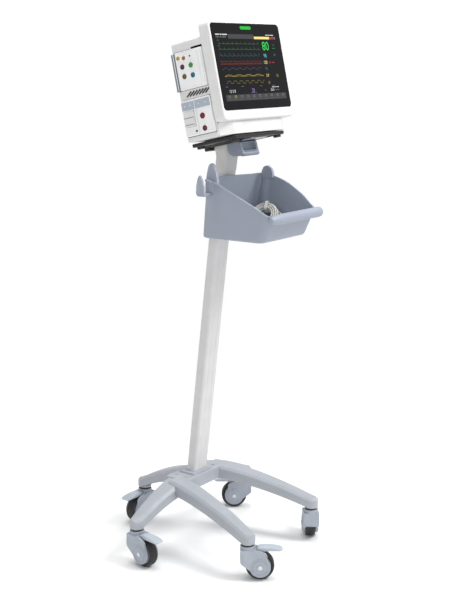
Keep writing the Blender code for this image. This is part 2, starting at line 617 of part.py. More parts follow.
def build_modules():
    face = RACK_FACE
    upper = box("upper_module", (face, 0.0345, -0.0365), (-0.060, 0.1255, 0.0583), MODULE_WHITE, HEAD)
    soften(upper, 0.0025)
    flange = box("upper_flange", (face - 0.001, 0.1180, -0.0370), (-0.1515, 0.1330, 0.0570), None, HEAD,
                 move=lambda p: Vector((p.x + (0.0035 if p.y > 0.13 and p.x < -0.155 else 0.0), p.y, p.z)))
    join(upper, flange)
    socket_plate(upper, ((0.0970, 0.0205), (0.0705, 0.0200), (0.0955, -0.0040), (0.0690, -0.0048),
                         (0.1055, 0.0435), (0.0885, 0.0410)), 0.0072, face)

    front = box("lower_front_module", (face, 0.0345, -0.1520), (-0.060, 0.0835, -0.0612), MODULE_WHITE, HEAD)
    soften(front, 0.0025)
    socket_plate(front, ((0.0620, -0.1080), (0.0615, -0.1385)), 0.0080, face)

    rear = box("lower_rear_module", (face, 0.0842, -0.1520), (-0.060, 0.1255, -0.0612), MODULE_WHITE, HEAD)
    soften(rear, 0.0025)
    cut(rear, box("trap_bay", (-0.18, 0.0885, -0.1290), (-0.135, 0.1200, -0.0900), None, HEAD))
    trap = box("water_trap", (face - 0.006, 0.0890, -0.1285), (-0.1355, 0.1195, -0.0905), WHITE, HEAD)
    soften(trap, 0.003)


def build_inside():
    box("main_board", (-0.045, 0.0420, -0.1000), (0.135, 0.0436, 0.0700), BOARD_GREEN, HEAD)
    box("power_supply", (-0.050, 0.0500, -0.1600), (0.010, 0.1100, -0.1300), TIN, HEAD)
    box("battery_pack", (0.030, 0.0470, -0.1570), (0.1200, 0.1130, -0.1370), CELL_GREY, HEAD)
    hinge = Vector((0.1283 + 0.0015, 0.080, -0.1605))
    door = box("battery_door", (-0.0012, -0.0370, 0.0), (0.0015, 0.0370, 0.0262), WHITE, HEAD, hinge)
    soften(door, 0.0008, 1)
    cylinder("speaker", 0.018, 0.1180, 0.1340, "Y", (0.105, 0, 0.040), BLACK, HEAD, 20)
    rotor = cylinder("fan_rotor", 0.0085, -0.005, 0.005, "Y", (0, 0, 0), BLACK, HEAD, 16, (0.034, 0.128, 0.034))
    for k in range(5):
        turn = Matrix.Rotation(2 * math.pi * k / 5, 3, "Y")
        blade = box("blade", (0.005, -0.0035, -0.0011), (0.0210, 0.0035, 0.0011), None, HEAD, (0.034, 0.128, 0.034),
                    move=lambda p, turn=turn: turn @ (Matrix.Rotation(math.radians(35), 3, "X") @ p))
        join(rotor, blade)
    inlet = box("mains_inlet", (-0.034, 0.1180, -0.1580), (-0.006, 0.1372, -0.1360), BLACK, HEAD)
    cut(inlet, box("inlet_recess", (-0.0315, 0.1200, -0.1555), (-0.0085, 0.15, -0.1385), None, HEAD))


# ---- accessory cable in the basket ------------------------------------------------------------------
COIL_CENTRE = Vector((0.0758, -0.1000, 0.9239))  # the coil leans on the basket's right wall
COIL_TILT = (math.radians(8.63), math.radians(-54.07), 0.0)
COIL_MIDDLE, COIL_HALF_DEEP, COIL_HALF_HIGH = 0.0280, 0.0110, 0.0111
LEAD_ROUTE = [(0.1002, -0.1332, 0.9345), (0.0950, -0.1410, 0.9240), (0.0925, -0.1540, 0.9080),
              (0.0905, -0.1700, 0.8950), (0.0850, -0.1880, 0.8889), (0.0740, -0.2020, 0.8882),
              (0.0560, -0.2065, 0.8885), (0.0400, -0.2060, 0.8905), (0.0250, -0.2045, 0.8922)]
YOKE_LOW, YOKE_HIGH = (0.0385, -0.1990), (0.0705, -0.1460)


def build_cable():
    inner, outer = COIL_MIDDLE - COIL_HALF_DEEP, COIL_MIDDLE + COIL_HALF_DEEP
    turned("cable_coil", [(outer, COIL_HALF_HIGH), (outer, -COIL_HALF_HIGH), (inner, -COIL_HALF_HIGH),
                          (inner, COIL_HALF_HIGH)], "Z", CABLE_GREY, WHOLE, COIL_CENTRE, 24)
    bpy.data.objects["cable_coil"].rotation_euler = COIL_TILT

    curve = bpy.data.curves.new("cable_lead", "CURVE")
    curve.dimensions = "3D"
    curve.bevel_depth = CABLE_RADIUS
    curve.bevel_resolution = 2
    curve.use_fill_caps = True
    line = curve.splines.new("POLY")
    points = smooth_route(LEAD_ROUTE, 5 * CABLE_RADIUS)
    line.points.add(len(points) - 1)
    for target, point in zip(line.points, points):
        target.co = (*point, 1.0)
    curve.materials.append(CABLE_GREY)
    lead = bpy.data.objects.new("cable_lead", curve)
    lead.parent = WHOLE
    PARTS.objects.link(lead)

    end = Vector(LEAD_ROUTE[-1])
    way = (end - Vector(LEAD_ROUTE[-2])).normalized()
    plug = turned("cable_plug", [(0.0, 0.0340), (0.0060, 0.0340), (0.0065, 0.0320), (0.0065, 0.0120),
                                 (0.0050, 0.0090), (0.0035, 0.0), (0.0, 0.0)], "Z", MODULE_WHITE, WHOLE,
                  end + way * GAP, 16)
    plug.rotation_euler = way.to_track_quat("Z", "Y").to_euler()
    yoke = box("cable_yoke", (*YOKE_LOW, BASKET_FLOOR + BASKET_WALL + GAP), (*YOKE_HIGH, 0.9000), MODULE_WHITE,
               WHOLE)
    soften(yoke, 0.004)


build_base()
for caster in CASTERS:
    build_caster(*caster)
build_mast()
build_dock()
build_basket()
build_front()
build_case()
build_modules()
build_inside()
build_cable()
bpy.context.view_layer.update()
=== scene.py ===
"""Looks of the patient monitor on its rolling stand: meshes, materials, screen, light and camera.

Metres, +Z up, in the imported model's frame. Pieces of the monitor's head are drawn in the head's frame (x across,
y behind the glass, z up the glass), pieces of the mast in the mast's frame, and each caster's in its own.
"""
import math

import bmesh
import bpy
from mathutils import Matrix, Vector


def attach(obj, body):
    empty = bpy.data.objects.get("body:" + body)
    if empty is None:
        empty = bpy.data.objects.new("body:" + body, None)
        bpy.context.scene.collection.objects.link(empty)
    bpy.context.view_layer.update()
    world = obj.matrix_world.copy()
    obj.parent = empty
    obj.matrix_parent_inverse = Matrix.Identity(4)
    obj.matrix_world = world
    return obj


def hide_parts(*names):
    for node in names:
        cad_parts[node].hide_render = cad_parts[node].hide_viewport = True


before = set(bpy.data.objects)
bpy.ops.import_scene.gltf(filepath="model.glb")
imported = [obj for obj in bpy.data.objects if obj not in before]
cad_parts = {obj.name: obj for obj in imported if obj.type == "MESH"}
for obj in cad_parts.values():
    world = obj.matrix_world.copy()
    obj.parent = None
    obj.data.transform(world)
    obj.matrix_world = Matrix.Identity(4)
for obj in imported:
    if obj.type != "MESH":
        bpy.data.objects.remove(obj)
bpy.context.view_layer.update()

# ---- sizes shared with the CAD ---------------------------------------------------------------------
CASTER_DROP = 0.012                          # the drawing's heights start this far below the floor
SHIFT = Vector((0.0008, 0.0043, -CASTER_DROP))
SWIVEL_CIRCLE = 0.262
WHEEL_RADIUS, WHEEL_TRAIL, TYRE_EDGE = 0.0375, 0.032, 0.013
AXLE_HIGH = WHEEL_RADIUS + CASTER_DROP
FORK_HALF, FORK_TOP, BOSS_BOTTOM = 0.0215, 0.1035, 0.1088
HUB_TOP, TIP_TOP, LEG_DEPTH = 0.200, 0.139, 0.038
MAST_HALF, MAST_ROUND, MAST_LOW, MAST_HIGH = (0.030, 0.015), 0.008, -0.029, 0.880
BEZEL_HALF, BEZEL_LOW, BEZEL_HIGH, BEZEL_DEPTH = 0.157, -0.1335, 0.1160, 0.030
GLASS_HALF = (0.150, 0.10825)
CASE_BACK, CASE_TOP, CASE_LOW, CASE_WALL = 0.140, 0.084, -0.165, 0.003
RACK_FACE = -0.156
PLATE_TOP, PLATE_LOW, PLATE_FRONT, PLATE_BACK = -0.1675, -0.1775, 0.010, 0.150
FLOOR_LOW, RIM_HIGH = 0.882, 1.045
HANDLE, HANDLE_RADIUS, HANDLE_HALF = (-0.2455, 0.9440), 0.0135, 0.118
CABLE = 0.005                                # diameter of the accessory cable

STAND = Matrix.Translation(SHIFT)
HEAD = Matrix.Translation(SHIFT + Vector((0, -0.1073, 1.3166))) @ Matrix.Rotation(math.radians(-12.76), 4, "X")
MAST = Matrix.Translation(SHIFT + Vector((0, 0.0714, 0.2043))) @ Matrix.Rotation(math.radians(6.58), 4, "X")
CASTERS = {  # pin angle from the front towards +X, and the direction in which the wheel trails
    "side_left": (-108.0, -98.0), "front_left": (-36.0, -53.6), "front_right": (36.0, 36.5),
    "side_right": (108.0, 126.4), "rear": (180.0, 178.0)}


def pin_of(angle):
    turn = math.radians(angle)
    return Vector((SWIVEL_CIRCLE * math.sin(turn), -SWIVEL_CIRCLE * math.cos(turn), 0.0))


def caster_frame(name):
    pin, trail = CASTERS[name]
    return STAND @ Matrix.Translation(pin_of(pin)) @ Matrix.Rotation(math.radians(trail), 4, "Z")


# ---- materials -------------------------------------------------------------------------------------
def new_material(name):
    made = bpy.data.materials.new(name)
    made.use_nodes = True
    return made, made.node_tree.nodes, made.node_tree.links, made.node_tree.nodes["Principled BSDF"]


def noise(nodes, links, scale, detail=3.0, stretch=None):
    """Noise in the model's own metres; stretch is how many times finer it is along each axis."""
    place = nodes.new("ShaderNodeTexCoord")
    made = nodes.new("ShaderNodeTexNoise")
    made.inputs["Scale"].default_value = scale
    made.inputs["Detail"].default_value = detail
    if stretch:
        mapping = nodes.new("ShaderNodeMapping")
        mapping.inputs["Scale"].default_value = stretch
        links.new(place.outputs["Object"], mapping.inputs["Vector"])
        links.new(mapping.outputs["Vector"], made.inputs["Vector"])
    else:
        links.new(place.outputs["Object"], made.inputs["Vector"])
    return made.outputs["Fac"]


def ramp(nodes, links, source, low, high, start=0.3, end=0.7):
    made = nodes.new("ShaderNodeValToRGB")
    made.color_ramp.elements[0].position, made.color_ramp.elements[1].position = start, end
    made.color_ramp.elements[0].color = (*low, 1.0)
    made.color_ramp.elements[1].color = (*high, 1.0)
    links.new(source, made.inputs["Fac"])
    return made.outputs["Color"]


def spread_of(nodes, links, source, low, high):
    made = nodes.new("ShaderNodeMapRange")
    made.inputs["From Min"].default_value, made.inputs["From Max"].default_value = 0.3, 0.7
    made.inputs["To Min"].default_value, made.inputs["To Max"].default_value = low, high
    links.new(source, made.inputs["Value"])
    return made.outputs["Result"]


def surface(name, colour, rough, metal=0.0, drift=0.035, grain=1400.0, relief=0.00006, wear_and_highlight=0.10, coat=0.0,
            stretch=None):
    """Moulded, cast or painted finish: slow colour drift, edges lightened as wear and as a painted highlight, uneven
    gloss and fine grain.
    """
    made, nodes, links, shader = new_material(name)
    slow = noise(nodes, links, 22.0)
    body = ramp(nodes, links, slow, [c * (1 - drift) for c in colour], [min(1.0, c * (1 + drift)) for c in colour])
    # convex edges lightened by pointiness: partly wear, partly a painted highlight along rims and edges
    edge = nodes.new("ShaderNodeNewGeometry")
    wear_and_highlight_mask = nodes.new("ShaderNodeMapRange")
    wear_and_highlight_mask.inputs["From Min"].default_value, wear_and_highlight_mask.inputs["From Max"].default_value = 0.54, 0.66
    wear_and_highlight_mask.inputs["To Max"].default_value = wear_and_highlight
    links.new(edge.outputs["Pointiness"], wear_and_highlight_mask.inputs["Value"])
    mix = nodes.new("ShaderNodeMixRGB")
    mix.blend_type = "MIX"
    mix.inputs["Color2"].default_value = (*[c + (1 - c) * 0.6 for c in colour], 1.0)
    links.new(wear_and_highlight_mask.outputs["Result"], mix.inputs["Fac"])
    links.new(body, mix.inputs["Color1"])
    links.new(mix.outputs["Color"], shader.inputs["Base Color"])
    links.new(spread_of(nodes, links, noise(nodes, links, 75.0, 5.0, stretch), rough * 0.86, rough * 1.14),
              shader.inputs["Roughness"])
    bump = nodes.new("ShaderNodeBump")
    bump.inputs["Strength"].default_value = 0.5
    bump.inputs["Distance"].default_value = relief
    links.new(noise(nodes, links, grain, 2.0, stretch), bump.inputs["Height"])
    links.new(bump.outputs["Normal"], shader.inputs["Normal"])
    shader.inputs["Metallic"].default_value = metal
    shader.inputs["Coat Weight"].default_value = coat
    shader.inputs["Coat Roughness"].default_value = 0.12
    return made


def display(name, colour, power):
    """Lit picture elements of the screen, with the faint grid of an LCD and a glossy cover."""
    made, nodes, links, shader = new_material(name)
    place = nodes.new("ShaderNodeTexCoord")
    cells = nodes.new("ShaderNodeTexVoronoi")
    cells.distance = "CHEBYCHEV"
    cells.inputs["Scale"].default_value = 3800.0
    cells.inputs["Randomness"].default_value = 0.0
    links.new(place.outputs["Object"], cells.inputs["Vector"])
    lit = ramp(nodes, links, cells.outputs["Distance"], colour, [c * 0.72 for c in colour], 0.25, 0.5)
    links.new(lit, shader.inputs["Emission Color"])
    shader.inputs["Emission Strength"].default_value = power
    dark = ramp(nodes, links, noise(nodes, links, 60.0), [c * 0.25 for c in colour], [c * 0.32 for c in colour])
    links.new(dark, shader.inputs["Base Color"])
    shader.inputs["Roughness"].default_value = 0.25
    return made


WHITE = surface("case_white", (0.72, 0.72, 0.715), 0.42)
MODULE = surface("module_white", (0.87, 0.875, 0.88), 0.40)
CASTING = surface("base_paint", (0.365, 0.388, 0.425), 0.46, grain=700.0, relief=0.00012, coat=0.05)
CASTER = surface("caster_nylon", (0.345, 0.380, 0.435), 0.44)
PEDAL = surface("pedal_nylon", (0.43, 0.475, 0.530), 0.46)
TYRE = surface("tyre_rubber", (0.014, 0.014, 0.015), 0.50, drift=0.25, grain=500.0, relief=0.00015, wear_and_highlight=0.03)
RUBBER = surface("black_rubber", (0.018, 0.018, 0.019), 0.62, drift=0.2, wear_and_highlight=0.03)
BLACK = surface("black_moulding", (0.013, 0.013, 0.014), 0.34, drift=0.2, wear_and_highlight=0.02)
PORT = surface("port_black", (0.020, 0.020, 0.022), 0.5, drift=0.2, wear_and_highlight=0.02)
STEEL = surface("brushed_steel", (0.62, 0.63, 0.65), 0.26, metal=1.0, grain=900.0, relief=0.00005,
                stretch=(1.0, 9.0, 9.0))
MAST_PAINT = surface("mast_anodised", (0.60, 0.595, 0.600), 0.36, grain=900.0, relief=0.00004, coat=0.1,
                     stretch=(8.0, 8.0, 0.6))
NECK_PAINT = surface("neck_paint", (0.63, 0.62, 0.605), 0.40)
BASKET = surface("basket_abs", (0.305, 0.340, 0.410), 0.40, drift=0.03, grain=1000.0, relief=0.00008, wear_and_highlight=0.16)
LEVER = surface("lever_abs", (0.27, 0.31, 0.38), 0.42, wear_and_highlight=0.18)
LATCH = surface("latch_blue_grey", (0.40, 0.455, 0.520), 0.42)
# flange band: a blue-grey of its own, made darker as painted shade for its angled facet
FLANGE = surface("flange_blue_grey_and_painted_shade", (0.13, 0.16, 0.19), 0.42)
GLASS = surface("glass_black", (0.0075, 0.0075, 0.0085), 0.07, drift=0.1, grain=200.0, relief=0.00001, wear_and_highlight=0.0,
                coat=0.0)
GLASS.node_tree.nodes["Principled BSDF"].inputs["Specular IOR Level"].default_value = 0.12
BOARD = surface("board_green", (0.018, 0.16, 0.07), 0.42, drift=0.2, grain=300.0, relief=0.0001)
TIN = surface("sheet_metal", (0.62, 0.63, 0.64), 0.32, metal=1.0, stretch=(9.0, 1.0, 9.0))
CELL = surface("battery_grey", (0.09, 0.10, 0.11), 0.5)
PANEL = surface("lcd_frame", (0.05, 0.055, 0.06), 0.4, drift=0.15)
CORD = surface("cable_grey", (0.62, 0.615, 0.575), 0.42, drift=0.05, grain=1800.0, relief=0.00005)
SLEEVE = surface("cable_sleeve", (0.66, 0.66, 0.64), 0.42)
LENS = display("lens_green", (0.005, 0.50, 0.03), 0.75)
SOCKET_COLOURS = {
    "yellow": (0.62, 0.50, 0.16), "orange": (0.50, 0.23, 0.10), "black": (0.03, 0.03, 0.03),
    "maroon": (0.13, 0.014, 0.022), "green": (0.07, 0.36, 0.10), "olive": (0.17, 0.115, 0.035),
    "blue": (0.035, 0.17, 0.28), "red": (0.22, 0.008, 0.030)}
SOCKETS = {name: surface("socket_" + name, colour, 0.33, drift=0.08, wear_and_highlight=0.05)
           for name, colour in SOCKET_COLOURS.items()}


# ---- mesh helpers ----------------------------------------------------------------------------------
def arc(centre, radius, start, end, steps):
    return [(centre[0] + radius * math.cos(math.radians(start + (end - start) * k / steps)),
             centre[1] + radius * math.sin(math.radians(start + (end - start) * k / steps)))
            for k in range(steps + 1)]


def round_rectangle(half_u, half_v, radius, steps=6, centre=(0.0, 0.0)):
    outline = []
    for u, v, start in ((1, -1, -90), (1, 1, 0), (-1, 1, 90), (-1, -1, 180)):
        spot = (centre[0] + u * (half_u - radius), centre[1] + v * (half_v - radius))
        outline += arc(spot, radius, start, start + 90, steps)
    return outline


def eased(points, radius, steps=4, closed=True):
    """The same line with its corners rounded off."""
    count, out = len(points), []
    for k, here in enumerate(points):
        if not closed and k in (0, count - 1):
            out.append(tuple(here))
            continue
        here = Vector(here)
        before, after = Vector(points[k - 1]), Vector(points[(k + 1) % count])
        reach = min(radius, 0.45 * (before - here).length, 0.45 * (after - here).length)
        a, b = here + (before - here).normalized() * reach, here + (after - here).normalized() * reach
        for j in range(steps + 1):
            t = j / steps
            out.append(tuple(a * (1 - t) ** 2 + here * 2 * t * (1 - t) + b * t ** 2))
    return out


def skin(rings, loop=False):
    """Closed skin through rings of equal count, capped at its ends, or closed on itself when loop is set."""
    bm = bmesh.new()
    loops = [[bm.verts.new(point) for point in ring] for ring in rings]
    pairs = list(zip(loops, loops[1:])) + ([(loops[-1], loops[0])] if loop else [])
    for lower, upper in pairs:
        for k in range(len(lower)):
            after = (k + 1) % len(lower)
            bm.faces.new((lower[k], lower[after], upper[after], upper[k]))
    if not loop:
        bm.faces.new(loops[0])
        bm.faces.new(loops[-1])
    return bm


PLANES = {"XY": lambda u, v, w: (u, v, w), "XZ": lambda u, v, w: (u, w, v), "YZ": lambda u, v, w: (w, u, v)}


def extrude(outline, low, high, plane="XY", edge=0.0, segments=3):
    """A flat outline given thickness across its plane, with the edges of both ends rounded."""
    bm = skin([[PLANES[plane](u, v, w) for u, v in outline] for w in (low, high)])
    if edge:
        bm.faces.ensure_lookup_table()
        rims = list({e for face in bm.faces[-2:] for e in face.edges})
        bmesh.ops.bevel(bm, geom=rims, offset=edge, segments=segments, profile=0.5, affect="EDGES",
                        clamp_overlap=True)
    return bm


def rounded_box(low, high, radius=0.0, segments=3):
    bm = bmesh.new()
    bmesh.ops.create_cube(bm, size=1.0)
    for vertex in bm.verts:
        for k in range(3):
            vertex.co[k] = low[k] + (vertex.co[k] + 0.5) * (high[k] - low[k])
    if radius:
        bmesh.ops.bevel(bm, geom=bm.edges[:], offset=radius, segments=segments, profile=0.5, affect="EDGES",
                        clamp_overlap=True)
    return bm


TURNS = {"X": Matrix.Rotation(math.pi / 2, 4, "Y"), "Y": Matrix.Rotation(-math.pi / 2, 4, "X"),
         "Z": Matrix.Identity(4)}


def lathe(profile, axis="Z", centre=(0, 0, 0), steps=32):
    """(radius, height) points turned about an axis; the line runs from axis to axis or is a closed ring."""
    bm = bmesh.new()
    loops = []
    for radius, height in profile:
        count = steps if radius > 0 else 1
        loops.append([bm.verts.new((radius * math.cos(2 * math.pi * k / steps),
                                    radius * math.sin(2 * math.pi * k / steps), height)) for k in range(count)])
    pairs = list(zip(loops, loops[1:])) + ([(loops[-1], loops[0])] if profile[0][0] > 0 else [])
    for a, b in pairs:
        for k in range(steps):
            ring = [a[k % len(a)], a[(k + 1) % len(a)], b[(k + 1) % len(b)], b[k % len(b)]]
            corners = list(dict.fromkeys(ring))
            if len(corners) > 2:
                bm.faces.new(corners)
    bm.transform(Matrix.Translation(Vector(centre)) @ TURNS[axis])
    return bm


def disc(radius, low, high, axis, centre, edge=0.0006, steps=32):
    """A short cylinder with eased rims."""
    return lathe(eased([(0.0, low), (radius, low), (radius, high), (0.0, high)], edge, 2, closed=False), axis, centre,
                 steps)


def moved(bm, matrix):
    bm.transform(matrix)
    return bm


def fused(parts):
    """Several meshes as one."""
    whole = bmesh.new()
    for bm in parts:
        mesh = bpy.data.meshes.new("scratch")
        bm.to_mesh(mesh)
        bm.free()
        whole.from_mesh(mesh)
        bpy.data.meshes.remove(mesh)
    return whole


def carve(solid, cutters, operation="DIFFERENCE"):
    """The solid with each cutter taken away, or joined on."""
    made = []
    for bm in [solid, *cutters]:
        bmesh.ops.recalc_face_normals(bm, faces=bm.faces)
        mesh = bpy.data.meshes.new("scratch")
        bm.to_mesh(mesh)
        bm.free()
        made.append(bpy.data.objects.new("scratch", mesh))
        bpy.context.scene.collection.objects.link(made[-1])
    for tool in made[1:]:
        step = made[0].modifiers.new("step", "BOOLEAN")
        step.operation, step.solver, step.object = operation, "EXACT", tool
    bpy.context.view_layer.update()
    result = bmesh.new()
    result.from_object(made[0], bpy.context.evaluated_depsgraph_get())
    for obj in made:
        mesh = obj.data
        bpy.data.objects.remove(obj, do_unlink=True)
        bpy.data.meshes.remove(mesh)
    return result


def piece(name, bm, place, material, body, nodes=(), sharp=32.0):
    """Make an object of the mesh, in the model's frame, that rides on a body and stands for CAD nodes."""
    bm.transform(place)
    bmesh.ops.recalc_face_normals(bm, faces=bm.faces)
    mesh = bpy.data.meshes.new(name)
    bm.to_mesh(mesh)
    bm.free()
    mesh.materials.append(material)
    mesh.shade_smooth()
    mesh.set_sharp_from_angle(angle=math.radians(sharp))
    made = bpy.data.objects.new(name, mesh)
    bpy.context.scene.collection.objects.link(made)
    even = made.modifiers.new("even", "WEIGHTED_NORMAL")
    even.keep_sharp, even.weight = True, 100
    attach(made, body)
    if nodes:
        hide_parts(*([nodes] if isinstance(nodes, str) else nodes))
    return made


def smooth_line(points, fine=10):
    """Points on a Catmull-Rom curve through the given ones."""
    knots = [Vector(p) for p in points]
    ends = [2 * knots[0] - knots[1], *knots, 2 * knots[-1] - knots[-2]]
    line = [0.5 * (2 * b + (c - a) * t + (2 * a - 5 * b + 4 * c - d) * t ** 2 + (3 * b - a - 3 * c + d) * t ** 3)
            for a, b, c, d in zip(ends, ends[1:], ends[2:], ends[3:]) for t in (k / fine for k in range(fine))]
    return line + [knots[-1]]


def along(table, value):
    """Linear interpolation in a table of (position, value) pairs."""
    for (p, a), (q, b) in zip(table, table[1:]):
        if value <= q:
            return a + (b - a) * max(0.0, (value - p) / (q - p))
    return table[-1][1]


# ---- camera ----------------------------------------------------------------------------------------
AZIMUTH, ELEVATION, ROLL = math.radians(-53.56), math.radians(11.03), math.radians(0.11)
DISTANCE, TARGET = 3.146, SHIFT + Vector((0.0, 0.0, 0.75))


def make_camera():
    data = bpy.data.cameras.new("camera")
    data.lens, data.sensor_width = 70.302, 36.0
    data.shift_x, data.shift_y = 0.0282, -0.0328
    back = Vector((math.sin(AZIMUTH) * math.cos(ELEVATION), -math.cos(AZIMUTH) * math.cos(ELEVATION),
                   math.sin(ELEVATION)))
    right = Vector((math.cos(AZIMUTH), math.sin(AZIMUTH), 0.0))
    up = back.cross(right)
    across = right * math.cos(ROLL) + up * math.sin(ROLL)
    upward = up * math.cos(ROLL) - right * math.sin(ROLL)
    turn = Matrix((across, upward, back)).transposed().to_4x4()
    made = bpy.data.objects.new("camera", data)
    made.matrix_world = Matrix.Translation(TARGET + back * DISTANCE) @ turn
    bpy.context.scene.collection.objects.link(made)
    bpy.context.scene.camera = made


make_camera()


# ---- accessory cable -------------------------------------------------------------------------------
COIL_CENTRE = Vector((0.0758, -0.1000, 0.9239))
COIL_TILT = Matrix.Rotation(math.radians(-54.07), 3, "Y") @ Matrix.Rotation(math.radians(8.63), 3, "X")
COIL_OUT, COIL_IN, COIL_ROW = 0.0365, 0.0195, 0.00565
COIL_TURNS = 13.67
LEAD_ROUTE = [(0.1002, -0.1332, 0.9345), (0.0950, -0.1410, 0.9240), (0.0925, -0.1540, 0.9080),
              (0.0905, -0.1700, 0.8950), (0.0850, -0.1880, 0.8889), (0.0740, -0.2020, 0.8882),
              (0.0560, -0.2065, 0.8885), (0.0400, -0.2060, 0.8905), (0.0250, -0.2045, 0.8922)]
YOKE = ((0.0385, -0.1990, 0.8853), (0.0705, -0.1460, 0.9000))


def coil_points():
    """Four flat spirals on top of each other, wound in, out, in and out again."""
    axis = COIL_TILT @ Vector((0, 0, 1))
    low = (Vector((0, 0, -1)) + axis * axis.z).normalized()
    onward = low.cross(axis)
    steps_per_turn, change = 18, 0.25
    run = (COIL_TURNS - 3 * change) / 4
    points = []
    for k in range(int(COIL_TURNS * steps_per_turn) + 1):
        turn = k / steps_per_turn
        row = min(3, int(turn / (run + change)))
        inside = min(run, turn - row * (run + change)) / run
        shifting = max(0.0, turn - row * (run + change) - run) / change
        inward = inside if row % 2 == 0 else 1 - inside
        radius = COIL_OUT + (COIL_IN - COIL_OUT) * inward
        height = COIL_ROW * (1.5 - row - shifting)
        angle = 2 * math.pi * turn
        points.append(COIL_CENTRE + axis * height + (low * math.cos(angle) + onward * math.sin(angle)) * radius)
    return points, axis, low


def build_cable():
    coil, axis, low = coil_points()
    exit_spot = Vector((0.0545, YOKE[1][1] - 0.001, 0.8927))
    entry = [exit_spot, Vector((0.0530, -0.1350, 0.8935)), Vector((0.0505, -0.1190, 0.8965))]
    route = [p + SHIFT for p in smooth_line(entry + coil[:2], 5)[:-6] + coil + smooth_line(LEAD_ROUTE, 3)[1:]]
    curve = bpy.data.curves.new("accessory_cable", "CURVE")
    curve.dimensions = "3D"
    curve.bevel_depth, curve.bevel_resolution, curve.use_fill_caps = CABLE / 2, 4, True
    line = curve.splines.new("POLY")
    line.points.add(len(route) - 1)
    for target, point in zip(line.points, route):
        target.co = (*point, 1.0)
    curve.materials.append(CORD)
    cable = bpy.data.objects.new("accessory_cable", curve)
    bpy.context.scene.collection.objects.link(cable)
    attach(cable, "stand")
    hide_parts("cable_coil", "cable_lead")

    end = Vector(LEAD_ROUTE[-1])
    way = (end - Vector(LEAD_ROUTE[-2])).normalized()
    body = [(0.0, 0.0340), (0.0058, 0.0340), (0.0065, 0.0325), (0.0065, 0.0270), (0.0060, 0.0265), (0.0060, 0.0255),
            (0.0065, 0.0250), (0.0065, 0.0120), (0.0050, 0.0090), (0.0044, 0.0085), (0.0044, 0.0070), (0.0040, 0.0065),
            (0.0040, 0.0050), (0.0036, 0.0045), (0.0034, 0.0), (0.0, 0.0)]
    plug = piece("cable_plug_body", lathe(body), STAND @ Matrix.Translation(end + way * 0.0003)
                 @ way.to_track_quat("Z", "Y").to_matrix().to_4x4(), SLEEVE, "stand", "cable_plug")
    middle = [(low_side + high_side) / 2 for low_side, high_side in zip(*YOKE)]
    rib = [rounded_box((YOKE[0][0] + 0.004, y, 0.8990), (YOKE[1][0] - 0.004, y + 0.002, 0.9008), 0.0006, 2)
           for y in (-0.186, -0.181, -0.176, -0.171)]
    relief = lathe([(0.0, 0.0), (0.0055, 0.0), (0.0055, 0.003), (0.0045, 0.004), (0.0048, 0.006), (0.0038, 0.008),
                    (0.0041, 0.010), (0.0032, 0.013), (0.0, 0.013)], "Y", (0.0545, YOKE[1][1] - 0.003, 0.8927), 24)
    yoke = piece("cable_yoke_body", fused([rounded_box(*YOKE, 0.0045, 4), relief, *rib,
                                           disc(0.006, 0.8995, 0.9012, "Z", (middle[0], -0.158, 0.0))]), STAND,
                 MODULE, "stand", "cable_yoke")
    spot = COIL_CENTRE - low * 0.028
    ring = round_rectangle(0.0128, 0.0128, 0.004, 4)
    outward = -low
    side = axis.cross(outward)
    band = []
    for inset, offset in ((0.0, -0.004), (0.0, 0.004), (0.0011, 0.004), (0.0011, -0.004)):
        band.append([spot + outward * u * (1 - inset / 0.0128) + axis * v * (1 - inset / 0.0128) + side * offset
                     for u, v in ring])
    tie = piece("cable_tie", skin(band, loop=True), STAND, WHITE, "stand")


build_cable()


# ---- base and mast ---------------------------------------------------------------------------------
def leg(root, tip, root_half, tip_half, steps=18):
    """A leg that arches down to its caster, with a wide chamfer along both top edges."""
    root, tip = Vector((*root, 0.0)), Vector((*tip, 0.0))
    forward = (tip - root).normalized()
    side = Vector((-forward.y, forward.x, 0.0))
    chamfer, soft = 0.0075, 0.0014
    rings = []
    for k in range(steps + 1):
        s = k / steps
        half = root_half + (tip_half - root_half) * s
        top = HUB_TOP - (HUB_TOP - TIP_TOP) * s ** 1.7
        bottom = top - LEG_DEPTH + 0.008 * s
        right = [(half - 0.001, bottom), (half + 0.002, bottom + 0.003), (half + 0.0004, top - chamfer - soft),
                 (half - soft, top - chamfer + soft), (half - chamfer + soft, top - soft), (half - chamfer - soft, top)]
        section = right + [(-u, v) for u, v in right[::-1]]
        centre = root.lerp(tip, s)
        rings.append([centre + side * u + Vector((0, 0, v)) for u, v in section])
    slope = 1.7 * (HUB_TOP - TIP_TOP) / (tip - root).length
    for k in range(1, 9):
        turn = math.pi / 2 * k / 10
        reach, half = tip_half * math.sin(turn), tip_half * math.cos(turn)
        top = TIP_TOP - slope * reach * 0.6
        drop = min(chamfer, half * 0.6)
        right = [(half - 0.0005, BOSS_BOTTOM + 0.0002), (half, BOSS_BOTTOM + 0.003),
                 (half, top - drop - soft * half / tip_half), (half - soft * half / tip_half, top - drop + soft),
                 (max(0.0004, half - drop + soft), top - soft), (max(0.0002, half - drop - soft), top)]
        section = right + [(-u, v) for u, v in right[::-1]]
        rings.append([tip + forward * reach + side * u + Vector((0, 0, v)) for u, v in section])
    return skin(rings)


